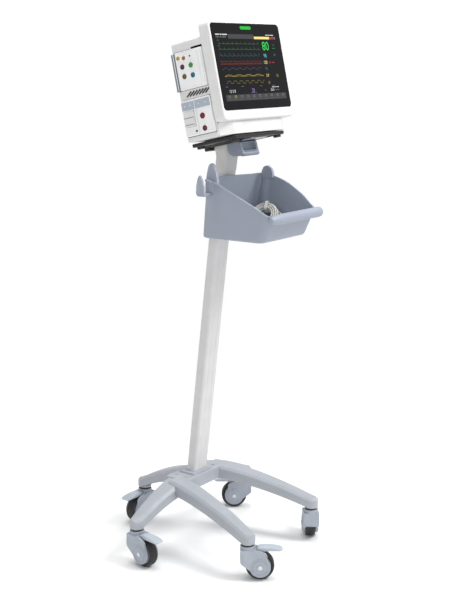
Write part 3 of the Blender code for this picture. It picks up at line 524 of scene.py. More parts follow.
def build_base():
    hub = rounded_box((-0.088, 0.040, HUB_TOP - LEG_DEPTH), (0.088, 0.114, HUB_TOP), 0.006, 3)
    pins = {name: pin_of(angle) for name, (angle, trail) in CASTERS.items()}
    added = []
    for side, name in ((-1, "left"), (1, "right")):
        added.append(leg((side * 0.084, 0.078), pins["front_" + name].xy, 0.029, 0.0195))
        added.append(leg((side * 0.045, 0.078), pins["side_" + name].xy, 0.034, 0.0195))
    added.append(leg((0.0, 0.090), pins["rear"].xy, 0.034, 0.0195))
    cap = eased([(0.0, BOSS_BOTTOM), (0.0187, BOSS_BOTTOM), (0.0189, BOSS_BOTTOM + 0.006), (0.0, BOSS_BOTTOM + 0.008)],
                0.0015, 3, closed=False)
    added += [lathe(cap, "Z", pin, 40) for pin in pins.values()]
    added.append(rounded_box((-0.043, 0.048, HUB_TOP - 0.015), (0.043, 0.100, HUB_TOP + 0.006), 0.005, 4))
    star = carve(hub, added, "UNION")
    bolts = [disc(0.0048, HUB_TOP - 0.002, HUB_TOP + 0.0018, "Z", (x, y, 0), 0.0008, 24)
             for x in (-0.062, 0.062) for y in (0.060, 0.094)]
    star = fused([star, *bolts])
    piece("base_casting", star, STAND, CASTING, "stand", "base_star", 28)


def groove(x, y, way):
    """Points of a fine lengthwise groove in the mast's front or rear face."""
    return [(x - way * 0.0010, y), (x, y * 0.955), (x + way * 0.0010, y)]


def build_mast():
    half_x, half_y = MAST_HALF
    corners = round_rectangle(half_x, half_y, MAST_ROUND, 10)
    quarter = len(corners) // 4
    outline = (corners[:2 * quarter] + groove(0.0105, half_y, -1) + groove(-0.0105, half_y, -1)
               + corners[2 * quarter:] + groove(-0.0105, -half_y, 1) + groove(0.0105, -half_y, 1))
    piece("mast_profile", extrude(outline, MAST_LOW, MAST_HIGH), MAST, MAST_PAINT, "stand", "mast_tube",
          40)

    # collar where the mast enters the base
    inner = round_rectangle(half_x + 0.0002, half_y + 0.0002, MAST_ROUND, 8)
    outer = round_rectangle(half_x + 0.0034, half_y + 0.0034, MAST_ROUND + 0.003, 8)
    rings = [[(x, y, z) for x, y in line] for line, z in ((inner, -0.002), (outer, -0.002), (outer, 0.0042),
                                                          (inner, 0.0056))]
    piece("mast_collar", skin(rings, loop=True), MAST, CASTING, "stand")

    # neck: grows out of the tube and meets the tilted plate
    slope = math.tan(math.radians(6.58 + 12.76))
    foot = MAST.inverted() @ (HEAD @ Vector((0.0, 0.115, PLATE_LOW - 0.0003)))
    sections = ((0.848, 0.0304, 0.0154, 0.0084), (0.850, 0.0311, 0.0161, 0.009), (0.880, 0.0313, 0.0163, 0.009),
                (0.888, 0.0320, 0.0172, 0.010), (0.896, 0.0338, 0.0192, 0.011), (0.902, 0.0355, 0.0215, 0.012))
    rings = [[(x, y, z) for x, y in round_rectangle(half_a, half_b, radius, 8)]
             for z, half_a, half_b, radius in sections]
    for lift, half_a in ((0.012, 0.0370), (0.004, 0.0370), (0.0, 0.0355)):
        rings.append([(x, y, max(0.9030, foot.z - lift - slope * (y - foot.y)))
                      for x, y in round_rectangle(half_a, 0.0230, 0.012, 8)])
    piece("neck_casting", skin(rings), MAST, NECK_PAINT, "stand", "mount_head", 40)


def build_dock():
    plate = [rounded_box((-0.110, PLATE_FRONT, PLATE_LOW), (0.110, PLATE_BACK, PLATE_TOP), 0.0035, 4),
             rounded_box((-0.030, 0.045, PLATE_TOP - 0.003), (0.030, 0.140, PLATE_TOP + 0.0035), 0.0010, 2),
             rounded_box((-0.048, 0.143, PLATE_LOW - 0.012), (0.048, 0.160, PLATE_TOP - 0.004), 0.0025, 3),
             rounded_box((-0.050, 0.052, PLATE_LOW - 0.0045), (0.050, 0.142, PLATE_LOW + 0.001), 0.0020, 3)]
    for x in (-0.094, 0.094):
        for y in (0.024, 0.134):
            plate.append(disc(0.0100, PLATE_LOW - 0.0062, PLATE_LOW + 0.002, "Z", (x, y, 0), 0.0016, 28))
    plate += [rounded_box((x, 0.020, PLATE_LOW - 0.0022), (x + 0.004, 0.140, PLATE_LOW + 0.001), 0.0008, 2)
              for x in (-0.078, -0.064, 0.060, 0.074)]
    piece("dock_plate", fused(plate), HEAD, BLACK, "stand", "mount_plate")

    tongue = carve(rounded_box((-0.034, 0.0145, PLATE_LOW - 0.0036), (0.034, 0.047, PLATE_LOW - 0.0003), 0.0010, 3),
                   [rounded_box((x - 0.009, 0.021, PLATE_LOW - 0.01), (x + 0.009, 0.025, PLATE_LOW + 0.01))
                    for x in (-0.018, 0.018)])
    piece("dock_tongue_plate", tongue, HEAD, STEEL, "stand", "dock_tongue")

    drop = [(0.052, -0.0045), (0.092, -0.0045), (0.092, -0.030), (0.080, -0.038), (0.056, -0.041), (0.047, -0.038),
            (0.050, -0.031)]
    shell = extrude(eased([(y, PLATE_LOW + z) for y, z in drop], 0.0040, 5), -0.037, 0.037, "YZ", 0.0042, 5)
    shell = carve(shell, [rounded_box((-0.0295, 0.030, PLATE_LOW - 0.0285), (0.0295, 0.064, PLATE_LOW - 0.0095),
                                      0.003, 3)])
    lips = [extrude(eased([(0.0452, PLATE_LOW - 0.0385), (0.0500, PLATE_LOW - 0.0425), (0.0580, PLATE_LOW - 0.0425),
                           (0.0520, PLATE_LOW - 0.0345)], 0.0020, 3), -0.034, 0.034, "YZ", 0.0018, 3)]
    lips += [rounded_box((x, 0.0478, PLATE_LOW - 0.0335), (x + 0.0016, 0.0510, PLATE_LOW - 0.0295), 0.0005, 2)
             for x in [-0.0248 + 0.0062 * k for k in range(9)]]
    piece("lever_shell", fused([shell, *lips]), HEAD, LEVER, "release_lever", "release_lever")


# ---- casters ---------------------------------------------------------------------------------------
def fork_mesh():
    centre = (WHEEL_TRAIL, AXLE_HIGH)
    hood = [(-0.0195, 0.095), (0.020, 0.095), (0.034, 0.0925), (0.045, 0.088), (0.050, 0.081), (0.051, 0.072)]
    hood += arc(centre, 0.0275, 40, -160, 16) + [(-0.0195, 0.060)]
    half = FORK_HALF
    solid = extrude(eased(hood, 0.0030, 3), -half, half, "XZ", 0.0026, 4)
    head = lathe(eased([(0.0, 0.088), (0.0196, 0.088), (0.0196, FORK_TOP), (0.0, FORK_TOP)], 0.0022, 4, closed=False),
                 "Z", (0, 0, 0), 40)
    solid = carve(solid, [head], "UNION")
    inside = TYRE_EDGE + 0.002
    room = lathe([(0.0, -inside), (WHEEL_RADIUS + 0.003, -inside), (WHEEL_RADIUS + 0.003, inside), (0.0, inside)], "Y",
                 (centre[0], 0, centre[1]), 48)
    slot = rounded_box((0.0235, -inside, 0.060), (0.062, inside, 0.112))
    solid = carve(solid, [room, slot])
    extras = []
    for side in (-1, 1):
        face = lathe(eased([(0.0, 0.0205), (0.0236, 0.0205), (0.0236, 0.0226), (0.0206, 0.0229), (0.0200, 0.0219),
                            (0.0186, 0.0219), (0.0180, 0.0232), (0.0, 0.0234)], 0.0005, 2, closed=False), "Y",
                     (0, 0, 0), 44)
        if side < 0:
            face.transform(Matrix.Scale(-1, 4, (0, 1, 0)))
        extras.append(moved(face, Matrix.Translation((centre[0], 0, centre[1]))))
        rib = extrude(eased([(-0.0150, 0.064), (-0.0150, 0.088), (-0.0125, 0.088), (-0.0100, 0.066)], 0.001, 2),
                      min(side * 0.0208, side * 0.0222), max(side * 0.0208, side * 0.0222), "XZ", 0.0005, 2)
        extras.append(rib)
    return fused([solid, *extras])


def axle_mesh():
    shaft = disc(0.0038, -0.0225, 0.0225, "Y", (0, 0, 0), 0.0004, 20)
    parts = [shaft]
    for side in (-1, 1):
        cap = disc(0.0060, 0.0230, 0.0252, "Y", (0, 0, 0), 0.0008, 28)
        hexagon = extrude(arc((0, 0), 0.0031, 0, 300, 5), 0.0238, 0.03, "XZ")
        cap = carve(cap, [hexagon])
        if side < 0:
            cap.transform(Matrix.Scale(-1, 4, (0, 1, 0)))
        parts.append(cap)
    return moved(fused(parts), Matrix.Translation((WHEEL_TRAIL, 0, AXLE_HIGH)))


def tyre_mesh():
    edge, radius = TYRE_EDGE, WHEEL_RADIUS
    tread = [(0.0288, -0.0115), (0.0300, -0.0124), (0.0335, -edge), (0.0352, -0.0124), (0.0366, -0.0106),
             (radius - 0.0001, -0.0075), (radius, -0.0046), (radius - 0.0009, -0.0040), (radius - 0.0009, -0.0034),
             (radius, -0.0028)]
    profile = tread + [(r, -h) for r, h in tread[::-1]]
    return lathe(profile, "Y", (WHEEL_TRAIL, 0, AXLE_HIGH), 64)


def hub_mesh():
    profile = [(0.0285, 0.0100), (0.0270, 0.0110), (0.0255, 0.0100), (0.0245, 0.0070), (0.0135, 0.0070), (0.0115, 0.0085),
               (0.0105, 0.0130), (0.0044, 0.0130)]
    bm = lathe([(r, h) for r, h in profile] + [(r, -h) for r, h in profile[::-1]], "Y", (0, 0, 0), 48)
    parts = [bm]
    for k in range(6):
        for side in (-1, 1):
            spoke = rounded_box((0.0110, min(side * 0.0065, side * 0.0092), -0.0012),
                                (0.0250, max(side * 0.0065, side * 0.0092), 0.0012), 0.0006, 2)
            parts.append(moved(spoke, Matrix.Rotation(math.pi * k / 3, 4, "Y")))
    return moved(fused(parts), Matrix.Translation((WHEEL_TRAIL, 0, AXLE_HIGH)))


def pedal_mesh():
    """A wing that widens over the tyre and thins out to a rounded end."""
    top = [(0.0250, 0.0995), (0.0330, 0.1012), (0.0420, 0.1018), (0.0560, 0.1015), (0.0700, 0.1000), (0.0820, 0.0972),
           (0.0890, 0.0948), (0.0910, 0.0936)]
    low = [(0.0250, 0.0890), (0.0420, 0.0888), (0.0600, 0.0900), (0.0800, 0.0905), (0.0890, 0.0912), (0.0910, 0.0922)]
    wide = [(0.0250, 0.0118), (0.0400, 0.0136), (0.0600, 0.0142), (0.0830, 0.0142), (0.0880, 0.0122), (0.0900, 0.0092),
            (0.0910, 0.0055)]
    rings = []
    for x in [0.0250 + 0.0660 * k / 26 for k in range(27)]:
        high, deep, half = along(top, x), along(low, x), along(wide, x)
        middle, thick = (high + deep) / 2, (high - deep) / 2
        rings.append([(x, u, middle + v) for u, v in round_rectangle(half, thick, min(thick, half) * 0.75, 4)])
    ribs = [rounded_box((x, -0.0105, along(top, x) - 0.0014), (x + 0.0022, 0.0105, along(top, x) + 0.0005), 0.0006, 2)
            for x in (0.0620, 0.0685, 0.0750, 0.0815)]
    return fused([skin(rings), *ribs])


def build_casters():
    makers = {"fork": fork_mesh(), "axle": axle_mesh(), "tyre": tyre_mesh(), "hub": hub_mesh(), "pedal": pedal_mesh()}
    for name in CASTERS:
        place = caster_frame(name)
        for kind, finish, body, node, slot in (
                ("fork", CASTER, "caster_", "caster_fork_", "caster_grey"),
                ("axle", STEEL, "caster_", "wheel_axle_", "steel"),
                ("hub", CASTER, "wheel_", "wheel_hub_", "caster_grey"),
                ("tyre", TYRE, "wheel_", "tyre_", "tyre_black"),
                ("pedal", PEDAL, "pedal_", "brake_pedal_", "pedal_grey")):
            piece(f"{kind}_piece_{name}", makers[kind].copy(), place, finish, body + name, node + name)


# ---- basket ----------------------------------------------------------------------------------------
RIM = [(-0.020, 1.0405), (-0.055, 1.0390), (-0.075, 1.0345), (-0.100, 1.0240), (-0.140, 1.0045), (-0.180, 0.9850),
       (-0.215, 0.9670), (-0.236, 0.9545), (-0.250, 0.9490), (-0.290, 0.9480)]
RIM_RIGHT = [(-0.020, 1.0350), (-0.055, 1.0330), (-0.080, 1.0305), (-0.105, 1.0250), (-0.135, 1.0150), (-0.165, 1.0005),
             (-0.195, 0.9820), (-0.220, 0.9620), (-0.236, 0.9530), (-0.250, 0.9490), (-0.290, 0.9480)]
HOOK_DEPTH = -0.0670                         # where the hooks and the ribs below them sit
WALL = 0.003


def basket_outline(s):
    """The outer outline at the floor (s 0) or at the upper edge (s 1), with even points along its sides."""
    rear_x, front_x = 0.110 + 0.020 * s, 0.105 + 0.019 * s
    rear_y, front_y, radius = -0.024 - 0.028 * s, -0.2135 - 0.0665 * s, 0.022
    corners = []
    for x_side, y, half, start in ((1, front_y, front_x, -90), (1, rear_y, rear_x, 0), (-1, rear_y, rear_x, 90),
                                   (-1, front_y, front_x, 180)):
        y_in = y + radius if y == front_y else y - radius
        corners.append(arc((x_side * (half - radius), y_in), radius, start, start + 90, 9))
    outline = []
    for k, corner in enumerate(corners):
        a, b = Vector(corner[-1]), Vector(corners[(k + 1) % 4][0])
        count = 16 if k % 2 else 44
        outline += corner + [tuple(a.lerp(b, j / count)) for j in range(1, count)]
    return [Vector(p) for p in outline]


def basket_mesh():
    rims = [[(p.x, p.y) for p in smooth_line([(y, z, 0.0) for y, z in line[::-1]], 6)] for line in (RIM, RIM_RIGHT)]
    low, high = basket_outline(0.0), basket_outline(1.0)
    count = len(low)
    columns = []
    for k in range(count):
        tangent = (low[(k + 1) % count] + high[(k + 1) % count] - low[k - 1] - high[k - 1]).normalized()
        outward = Vector((tangent.y, -tangent.x))

        def spot(z, k=k):
            return low[k].lerp(high[k], (z - FLOOR_LOW) / (RIM_HIGH - FLOOR_LOW))

        floor, top = 0.93, 1.06
        for step in range(24):
            middle = (floor + top) / 2
            left, right = (along(rim, spot(middle).y) for rim in rims)
            share = min(1.0, max(0.0, 0.5 + spot(middle).x / 0.16))
            floor, top = (middle, top) if left + (right - left) * share > middle else (floor, middle)
        edge = (floor + top) / 2
        beside = 1.0 if abs(outward.x) > 0.9 else 0.0

        def wall(z, offset, outward=outward, spot=spot, beside=beside):
            here = spot(z)
            near = beside * max(0.0, 1 - ((here.y - HOOK_DEPTH - 0.002) / 0.013) ** 2)
            if offset >= 0:
                offset += 0.0085 * near * min(1.0, max(0.0, (z - 0.940) / 0.055)) ** 1.2
            else:
                offset -= 0.0055 * beside * max(0.0, 1 - ((here.y - HOOK_DEPTH - 0.002) / 0.015) ** 2) ** 0.7
            here = here + outward * offset
            return (here.x, here.y, z)

        rows = [wall(FLOOR_LOW, -0.0062), wall(FLOOR_LOW + 0.0018, -0.0019), wall(FLOOR_LOW + 0.006, 0.0)]
        rows[0] = (*(spot(FLOOR_LOW) - outward * 0.0062), FLOOR_LOW)
        rows[1] = (*(spot(FLOOR_LOW + 0.0018) - outward * 0.0019), FLOOR_LOW + 0.0018)
        start = FLOOR_LOW + 0.006
        rows += [wall(start + (edge - 0.006 - start) * j / 12, 0.0) for j in range(1, 13)]
        rows += [wall(edge - 0.0048, 0.0021), wall(edge - 0.0022, 0.0026), wall(edge - 0.0004, 0.0016)]
        rows += [(*(spot(edge) - outward * 0.0010), edge + 0.0002), (*(spot(edge) - outward * 0.0028), edge - 0.0008)]
        rows += [wall(edge - 0.004 - (edge - 0.010 - FLOOR_LOW) * j / 7, -WALL) for j in range(8)]
        rows += [(*(spot(FLOOR_LOW + WALL) - outward * 0.0100), FLOOR_LOW + WALL)]
        columns.append(rows)
    return skin([[column[j] for column in columns] for j in range(len(columns[0]))])


def build_basket():
    handle = [(0.0, -HANDLE_HALF), (0.0050, -HANDLE_HALF + 0.0004), (0.0098, -HANDLE_HALF + 0.0025),
              (0.0126, -HANDLE_HALF + 0.0062), (HANDLE_RADIUS, -HANDLE_HALF + 0.0115)]
    handle = [(r, h) for r, h in ((0.0, -0.1140), (0.0045, -0.1132), (0.0075, -0.1110), (0.0102, -0.1040),
                                  (0.0122, -0.0920), (HANDLE_RADIUS, -0.0740))] + [(r, -h) for r, h in handle[::-1]]
    parts = [basket_mesh(), lathe(handle, "X", (0, *HANDLE), 40)]
    fins = {-1: [(-0.056, 1.020), (-0.091, 1.020), (-0.0895, 1.040), (-0.0850, 1.058), (-0.0790, 1.072), (-0.072, 1.0790),
                 (-0.0635, 1.071), (-0.0585, 1.052), (-0.0560, 1.035)],
            1: [(-0.0585, 1.020), (-0.096, 1.020), (-0.094, 1.040), (-0.086, 1.0515), (-0.075, 1.0545), (-0.066, 1.0500),
                (-0.0600, 1.038)]}
    for side in (-1, 1):
        top = 1.0515 if side < 0 else 1.0290
        outer = [(-0.054, 0.9990), (-0.0785, 0.9990), (-0.0780, top - 0.030), (-0.0735, top - 0.014), (-0.066, top),
                 (-0.0600, top - 0.008), (-0.0550, top - 0.027)]
        x_in, x_out = sorted((side * 0.1165, side * 0.1255)), sorted((side * 0.1600, side * 0.1652))
        parts.append(extrude(eased(fins[side], 0.006, 4), *x_in, "YZ", 0.0030, 4))
        parts.append(extrude(eased(outer, 0.0045, 4), *x_out, "YZ", 0.0016, 3))
        bar = sorted((side * 0.119, side * 0.1640))
        parts.append(rounded_box((bar[0], -0.0775, 0.9960), (bar[1], -0.0560, 1.0030), 0.0022, 3))
        knee = extrude(eased([(side * 0.1600, 1.0010), (side * 0.1610, 1.0110), (side * 0.1500, 1.0015)], 0.002, 3),
                       -0.0690, -0.0640, "XZ", 0.001, 2)
        parts.append(knee)
    piece("basket_shell", fused(parts), STAND, BASKET, "stand", "basket", 30)


# ---- monitor head ----------------------------------------------------------------------------------
def front_ring(half_x, low, high, radius, depth, steps=8):
    centre, half_z = (low + high) / 2, (high - low) / 2
    return [(x, depth, z) for x, z in round_rectangle(half_x, half_z, radius, steps, (0.0, centre))]


def build_front():
    half, low, high = BEZEL_HALF, BEZEL_LOW, BEZEL_HIGH
    seat_x, seat_z = GLASS_HALF[0] + 0.0003, GLASS_HALF[1] + 0.0003
    rings = [front_ring(seat_x - 0.006, -seat_z + 0.006, seat_z - 0.006, 0.006, 0.0034),
             front_ring(seat_x, -seat_z, seat_z, 0.0103, 0.0034),
             front_ring(seat_x, -seat_z, seat_z, 0.0103, 0.0003),
             front_ring(seat_x + 0.0005, -seat_z - 0.0005, seat_z + 0.0005, 0.0108, -0.0004),
             front_ring(half - 0.0042, low + 0.0050, high - 0.0042, 0.0128, -0.0006),
             front_ring(half - 0.0020, low + 0.0026, high - 0.0020, 0.0148, 0.0000),
             front_ring(half - 0.0006, low + 0.0009, high - 0.0006, 0.0158, 0.0018),
             front_ring(half, low, high, 0.016, 0.0045),
             front_ring(half, low, high, 0.016, 0.0262),
             front_ring(half - 0.0004, low + 0.0004, high - 0.0004, 0.0158, 0.0284),
             front_ring(half - 0.0016, low + 0.0016, high - 0.0016, 0.0148, BEZEL_DEPTH),
             front_ring(0.1455, -0.1035, 0.0800, 0.006, BEZEL_DEPTH),
             front_ring(0.1455, -0.1035, 0.0800, 0.006, 0.0045)]
    bezel = skin(rings, loop=True)
    piece("bezel_frame", bezel, HEAD, WHITE, "monitor", "front_bezel", 40)

    slot = round_rectangle(0.0243, 0.0044, 0.0040, 6, (0.0, 0.0975))
    pane = extrude(round_rectangle(*GLASS_HALF, 0.010, 10), 0.0, 0.003, "XZ", 0.0004, 2)
    piece("glass_pane", carve(pane, [extrude(slot, -0.01, 0.01, "XZ")]), HEAD, GLASS, "monitor", "touch_glass")
    lens = extrude(round_rectangle(0.0238, 0.0040, 0.0038, 8, (0.0, 0.0975)), -0.0001, 0.0065, "XZ", 0.0005, 3)
    piece("lens_bar", lens, HEAD, LENS, "monitor", "alarm_lens")

    # base casing below the screen, with a facet at its left
    outline = [(-0.107, 0.0100), (-0.149, 0.0300), (0.1265, 0.0300), (0.1265, 0.0200), (0.1080, 0.0100)]
    chin = extrude(eased(outline, 0.0030, 4), CASE_LOW, BEZEL_LOW - 0.0003, "XY", 0.0020, 4)
    bore = lathe([(0.0, -0.01), (0.0062, -0.01), (0.0062, 0.0120), (0.0, 0.0120)], "Y", (-0.062, 0.0, -0.149), 28)
    seam = rounded_box((-0.104, 0.0, -0.16150), (0.105, 0.0106, -0.16095))
    piece("chin_cover", carve(chin, [bore, seam]), HEAD, WHITE, "monitor", "lower_cover")
    button = lathe(eased([(0.0, 0.0165), (0.0054, 0.0165), (0.0056, 0.0098), (0.0048, 0.0094), (0.0040, 0.0099),
                          (0.0, 0.0101)], 0.0004, 2, closed=False)[::-1], "Y", (-0.062, 0.0, -0.149), 32)
    piece("button_cap", button, HEAD, MODULE, "power_button", "power_button")


def vent_slots():
    """Slanted slots in the strip of wall between the upper and lower module bays."""
    slots = []
    for k in range(7):
        slot = rounded_box((-0.160, -0.0026, -0.0105), (-0.1440, 0.0026, 0.0105), 0.0008, 2)
        slot.transform(Matrix.Translation((0.0, 0.0405 + 0.0098 * k, -0.0480)) @ Matrix.Rotation(0.95, 4, "X"))
        slots.append(slot)
    return slots


def build_case():
    case = rounded_box((-0.150, 0.0100, -0.128), (0.150, CASE_BACK, CASE_TOP), 0.007, 5)
    foot = rounded_box((-0.1495, 0.0100, CASE_LOW), (0.128, CASE_BACK - 0.004, -0.110), 0.0045, 4)
    case = carve(case, [foot], "UNION")
    wall = CASE_WALL
    cuts = [rounded_box((-0.2, -0.02, -0.2), (0.2, BEZEL_DEPTH + 0.0003, 0.2)),
            extrude([(-0.147, 0.02), (0.147, 0.02), (0.147, CASE_BACK - wall), (-0.128, CASE_BACK - wall),
                     (-0.147, 0.1240)], -0.125, CASE_TOP - wall),
            extrude([(-0.1463, 0.021), (0.128 - wall, 0.021), (0.128 - wall, CASE_BACK - 0.004 - wall),
                     (-0.126, CASE_BACK - 0.004 - wall), (-0.1463, 0.1225)], CASE_LOW + wall, -0.117),
            extrude([(-0.2, 0.1272), (-0.1503, 0.1272), (-0.1300, CASE_BACK + 0.001), (-0.1300, 0.2), (-0.2, 0.2)],
                    -0.2, 0.2),
            rounded_box((-0.17, 0.0335, -0.0375), (-0.13, 0.1265, 0.0600)),
            rounded_box((-0.17, 0.0335, -0.1535), (-0.13, 0.1265, -0.0600)),
            rounded_box((-0.17, 0.0335, 0.0590), (-0.146, 0.0700, 0.0640)),
            rounded_box((-0.0343, 0.12, -0.1583), (-0.0057, 0.16, -0.1357)),
            rounded_box((0.12, 0.0450, -0.1590), (0.14, 0.1150, -0.1360)),
            rounded_box((-0.0325, -0.05, CASE_LOW - 0.01), (0.0325, 0.1425, CASE_LOW + 0.0018))]
    cuts += [rounded_box((0.010, CASE_BACK - 0.01, z), (0.058, CASE_BACK + 0.01, z + 0.0045))
             for z in [0.012 + 0.009 * k for k in range(5)]]
    cuts += [rounded_box((0.088, CASE_BACK - 0.01, z), (0.122, CASE_BACK + 0.01, z + 0.0022))
             for z in [0.024 + 0.0055 * k for k in range(7)]]
    cuts += [rounded_box((x, CASE_BACK - 0.0012, -0.100), (x + 0.0010, CASE_BACK + 0.01, 0.070)) for x in (-0.112, 0.134)]
    cuts += vent_slots()
    case = carve(case, cuts)
    # a dark sheet just inside the vent slots: painted shade for the inside of the case
    piece("vent_shade_sheet", rounded_box((-0.1468, 0.0300, -0.0585), (-0.1460, 0.1100, -0.0378), 0.0002, 1), HEAD, PORT,
          "monitor")
    screws = []
    for x, z in ((-0.121, 0.072), (0.141, 0.072), (-0.121, -0.104), (0.141, -0.104)):
        screws.append(disc(0.0042, CASE_BACK - 0.002, CASE_BACK + 0.0006, "Y", (x, 0, z), 0.0005, 24))
    piece("case_shell", case, HEAD, WHITE, "monitor", "rear_housing", 28)
    piece("case_screws", fused(screws), HEAD, STEEL, "monitor")

    # sockets at the back: a recessed plate with a network port, a video port and a serial port
    ports = [rounded_box((-0.098, CASE_BACK - 0.001, -0.094), (-0.018, CASE_BACK + 0.0012, -0.044), 0.0010, 3)]
    piece("port_plate", fused(ports), HEAD, LATCH, "monitor")
    holes = [rounded_box((x, CASE_BACK + 0.0008, z), (x + wide, CASE_BACK + 0.0018, z + tall), 0.0008, 2)
             for x, z, wide, tall in ((-0.092, -0.066, 0.0155, 0.0130), (-0.071, -0.066, 0.0155, 0.0130),
                                      (-0.050, -0.064, 0.0260, 0.0100), (-0.092, -0.088, 0.0120, 0.0050),
                                      (-0.075, -0.088, 0.0120, 0.0050), (-0.056, -0.090, 0.0320, 0.0110))]
    piece("port_sockets", fused(holes), HEAD, PORT, "monitor")

    lid = rounded_box((0.1272, 0.0430, -0.1604), (0.1299, 0.1170, -0.1343), 0.0009, 3)
    grips = [rounded_box((0.1294, 0.052 + 0.004 * k, -0.1400), (0.1303, 0.054 + 0.004 * k, -0.1370), 0.0004, 2)
             for k in range(6)]
    piece("battery_lid", fused([lid, *grips]), HEAD, WHITE, "battery_door", "battery_door")


def socket(name, depth, height, radius, body, face=RACK_FACE):
    """A round patient socket: a white collar, a coloured insert with a keyway and its pins."""
    spot = (0.0, depth, height)
    collar = lathe(eased([(radius * 1.16, face + 0.003), (radius * 1.16, face - 0.0018), (radius * 0.98, face - 0.0022),
                          (radius * 0.92, face + 0.003)], 0.0004, 2), "X", spot, 36)
    piece(f"collar_{name}", collar, HEAD, MODULE, body)
    insert = lathe(eased([(0.0, face + 0.003), (radius * 0.94, face + 0.003), (radius * 0.94, face - 0.0030),
                          (radius * 0.66, face - 0.0034), (radius * 0.60, face - 0.0004), (0.0, face - 0.0004)], 0.0003,
                         2, closed=False), "X", spot, 36)
    key = rounded_box((face - 0.0030, depth - 0.0008, height + radius * 0.42),
                      (face, depth + 0.0008, height + radius * 0.68), 0.0003, 1)
    piece(f"socket_{name}", fused([insert, key]), HEAD, SOCKETS[name.split("_")[0]], body)
    pins = [disc(0.00055, face - 0.0022, face, "X", (0, depth + u, height + v), 0.0002, 10)
            for u, v in arc((0, 0), radius * 0.34, 30, 330, 4)]
    piece(f"pins_{name}", fused(pins), HEAD, STEEL, body)


def build_modules():
    face = RACK_FACE
    upper = rounded_box((face, 0.0345, -0.0365), (-0.060, 0.1262, 0.0583), 0.0030, 4)
    flange = [(face - 0.0006, 0.1175), (face - 0.0006, 0.1210), (face + 0.0045, 0.1330), (-0.1515, 0.1330),
              (-0.1515, 0.1175)]
    slits = [rounded_box((face - 0.01, y, -0.030), (face + 0.0016, y + 0.0014, 0.052)) for y in (0.0365, 0.0475)]
    frame_line = [rounded_box((face - 0.01, 0.0500, z), (face + 0.0008, 0.1165, z + 0.0006)) for z in (-0.0325, 0.0545)]
    upper = fused([carve(upper, slits + frame_line),
                   rounded_box((face - 0.0010, 0.0400, -0.0290), (face + 0.002, 0.0450, -0.0180), 0.0006, 2)])
    piece("module_upper_body", upper, HEAD, MODULE, "upper_module", "upper_module")
    # the flange's dark blue-grey is partly painted shade for its angled facet
    piece("module_upper_flange", extrude(eased(flange, 0.0010, 2), -0.0370, 0.0570, "XY", 0.0008, 2), HEAD, FLANGE,
          "upper_module")
    for name, depth, height, radius in (
            ("yellow", 0.1075, 0.0436, 0.0058), ("orange", 0.0903, 0.0408, 0.0056), ("black", 0.0700, 0.0425, 0.0024),
            ("maroon", 0.0986, 0.0204, 0.0068), ("green", 0.0717, 0.0200, 0.0068), ("olive", 0.0971, -0.0037, 0.0068),
            ("blue", 0.0703, -0.0049, 0.0068)):
        socket(name, depth, height, radius, "upper_module")

    front = rounded_box((face, 0.0345, -0.1520), (-0.060, 0.0835, -0.0612), 0.0028, 4)
    groove_low = [rounded_box((face - 0.01, y, -0.148), (face + 0.0010, y + 0.0009, -0.090)) for y in (0.0400, 0.0790)]
    piece("module_front_body", carve(front, groove_low), HEAD, MODULE, "lower_front_module", "lower_front_module")
    piece("module_front_latch", rounded_box((face - 0.0016, 0.0365, -0.0865), (face + 0.002, 0.0822, -0.0660), 0.0010, 3),
          HEAD, LATCH, "lower_front_module")
    socket("red_upper", 0.0632, -0.1077, 0.0078, "lower_front_module")
    socket("maroon_low", 0.0626, -0.1388, 0.0072, "lower_front_module")

    rear = rounded_box((face, 0.0842, -0.1520), (-0.060, 0.1262, -0.0612), 0.0028, 4)
    bay = [rounded_box((-0.18, 0.0885, -0.1290), (-0.135, 0.1200, -0.0900)),
           rounded_box((face - 0.01, 0.0865, -0.1475), (face + 0.0010, 0.1235, -0.1469))]
    piece("module_rear_body", carve(rear, bay), HEAD, MODULE, "lower_rear_module", "lower_rear_module")
    piece("module_rear_latch", rounded_box((face - 0.0016, 0.0858, -0.0865), (face + 0.002, 0.1240, -0.0660), 0.0010, 3),
          HEAD, LATCH, "lower_rear_module")
    trap = carve(rounded_box((face - 0.0060, 0.0890, -0.1285), (-0.1355, 0.1195, -0.0905), 0.0030, 4),
                 [rounded_box((face - 0.01, 0.0850, z), (face - 0.0045, 0.1230, z + 0.0009)) for z in (-0.1060, -0.1235)])
    piece("trap_body", trap, HEAD, WHITE, "water_trap", "water_trap")
    lines = [rounded_box((face - 0.0064, 0.0895, z), (face - 0.0040, 0.1190, z + 0.0016), 0.0003, 1)
             for z in (-0.1068, -0.1243)]
    piece("trap_lines", fused(lines), HEAD, FLANGE, "water_trap")
    dots = [disc(0.0019, face - 0.0024, face, "X", (0, y, -0.0762), 0.0004, 18) for y in (0.0480, 0.0700)]
    piece("latch_dots_front", fused(dots), HEAD, WHITE, "lower_front_module")
    dots = [disc(0.0019, face - 0.0024, face, "X", (0, y, -0.0762), 0.0004, 18) for y in (0.0960, 0.1140)]
    piece("latch_dots_rear", fused(dots), HEAD, WHITE, "lower_rear_module")
    piece("gas_port", disc(0.0026, face - 0.0016, face + 0.001, "X", (0, 0.0900, -0.1415), 0.0004, 20), HEAD, PORT,
          "lower_rear_module")


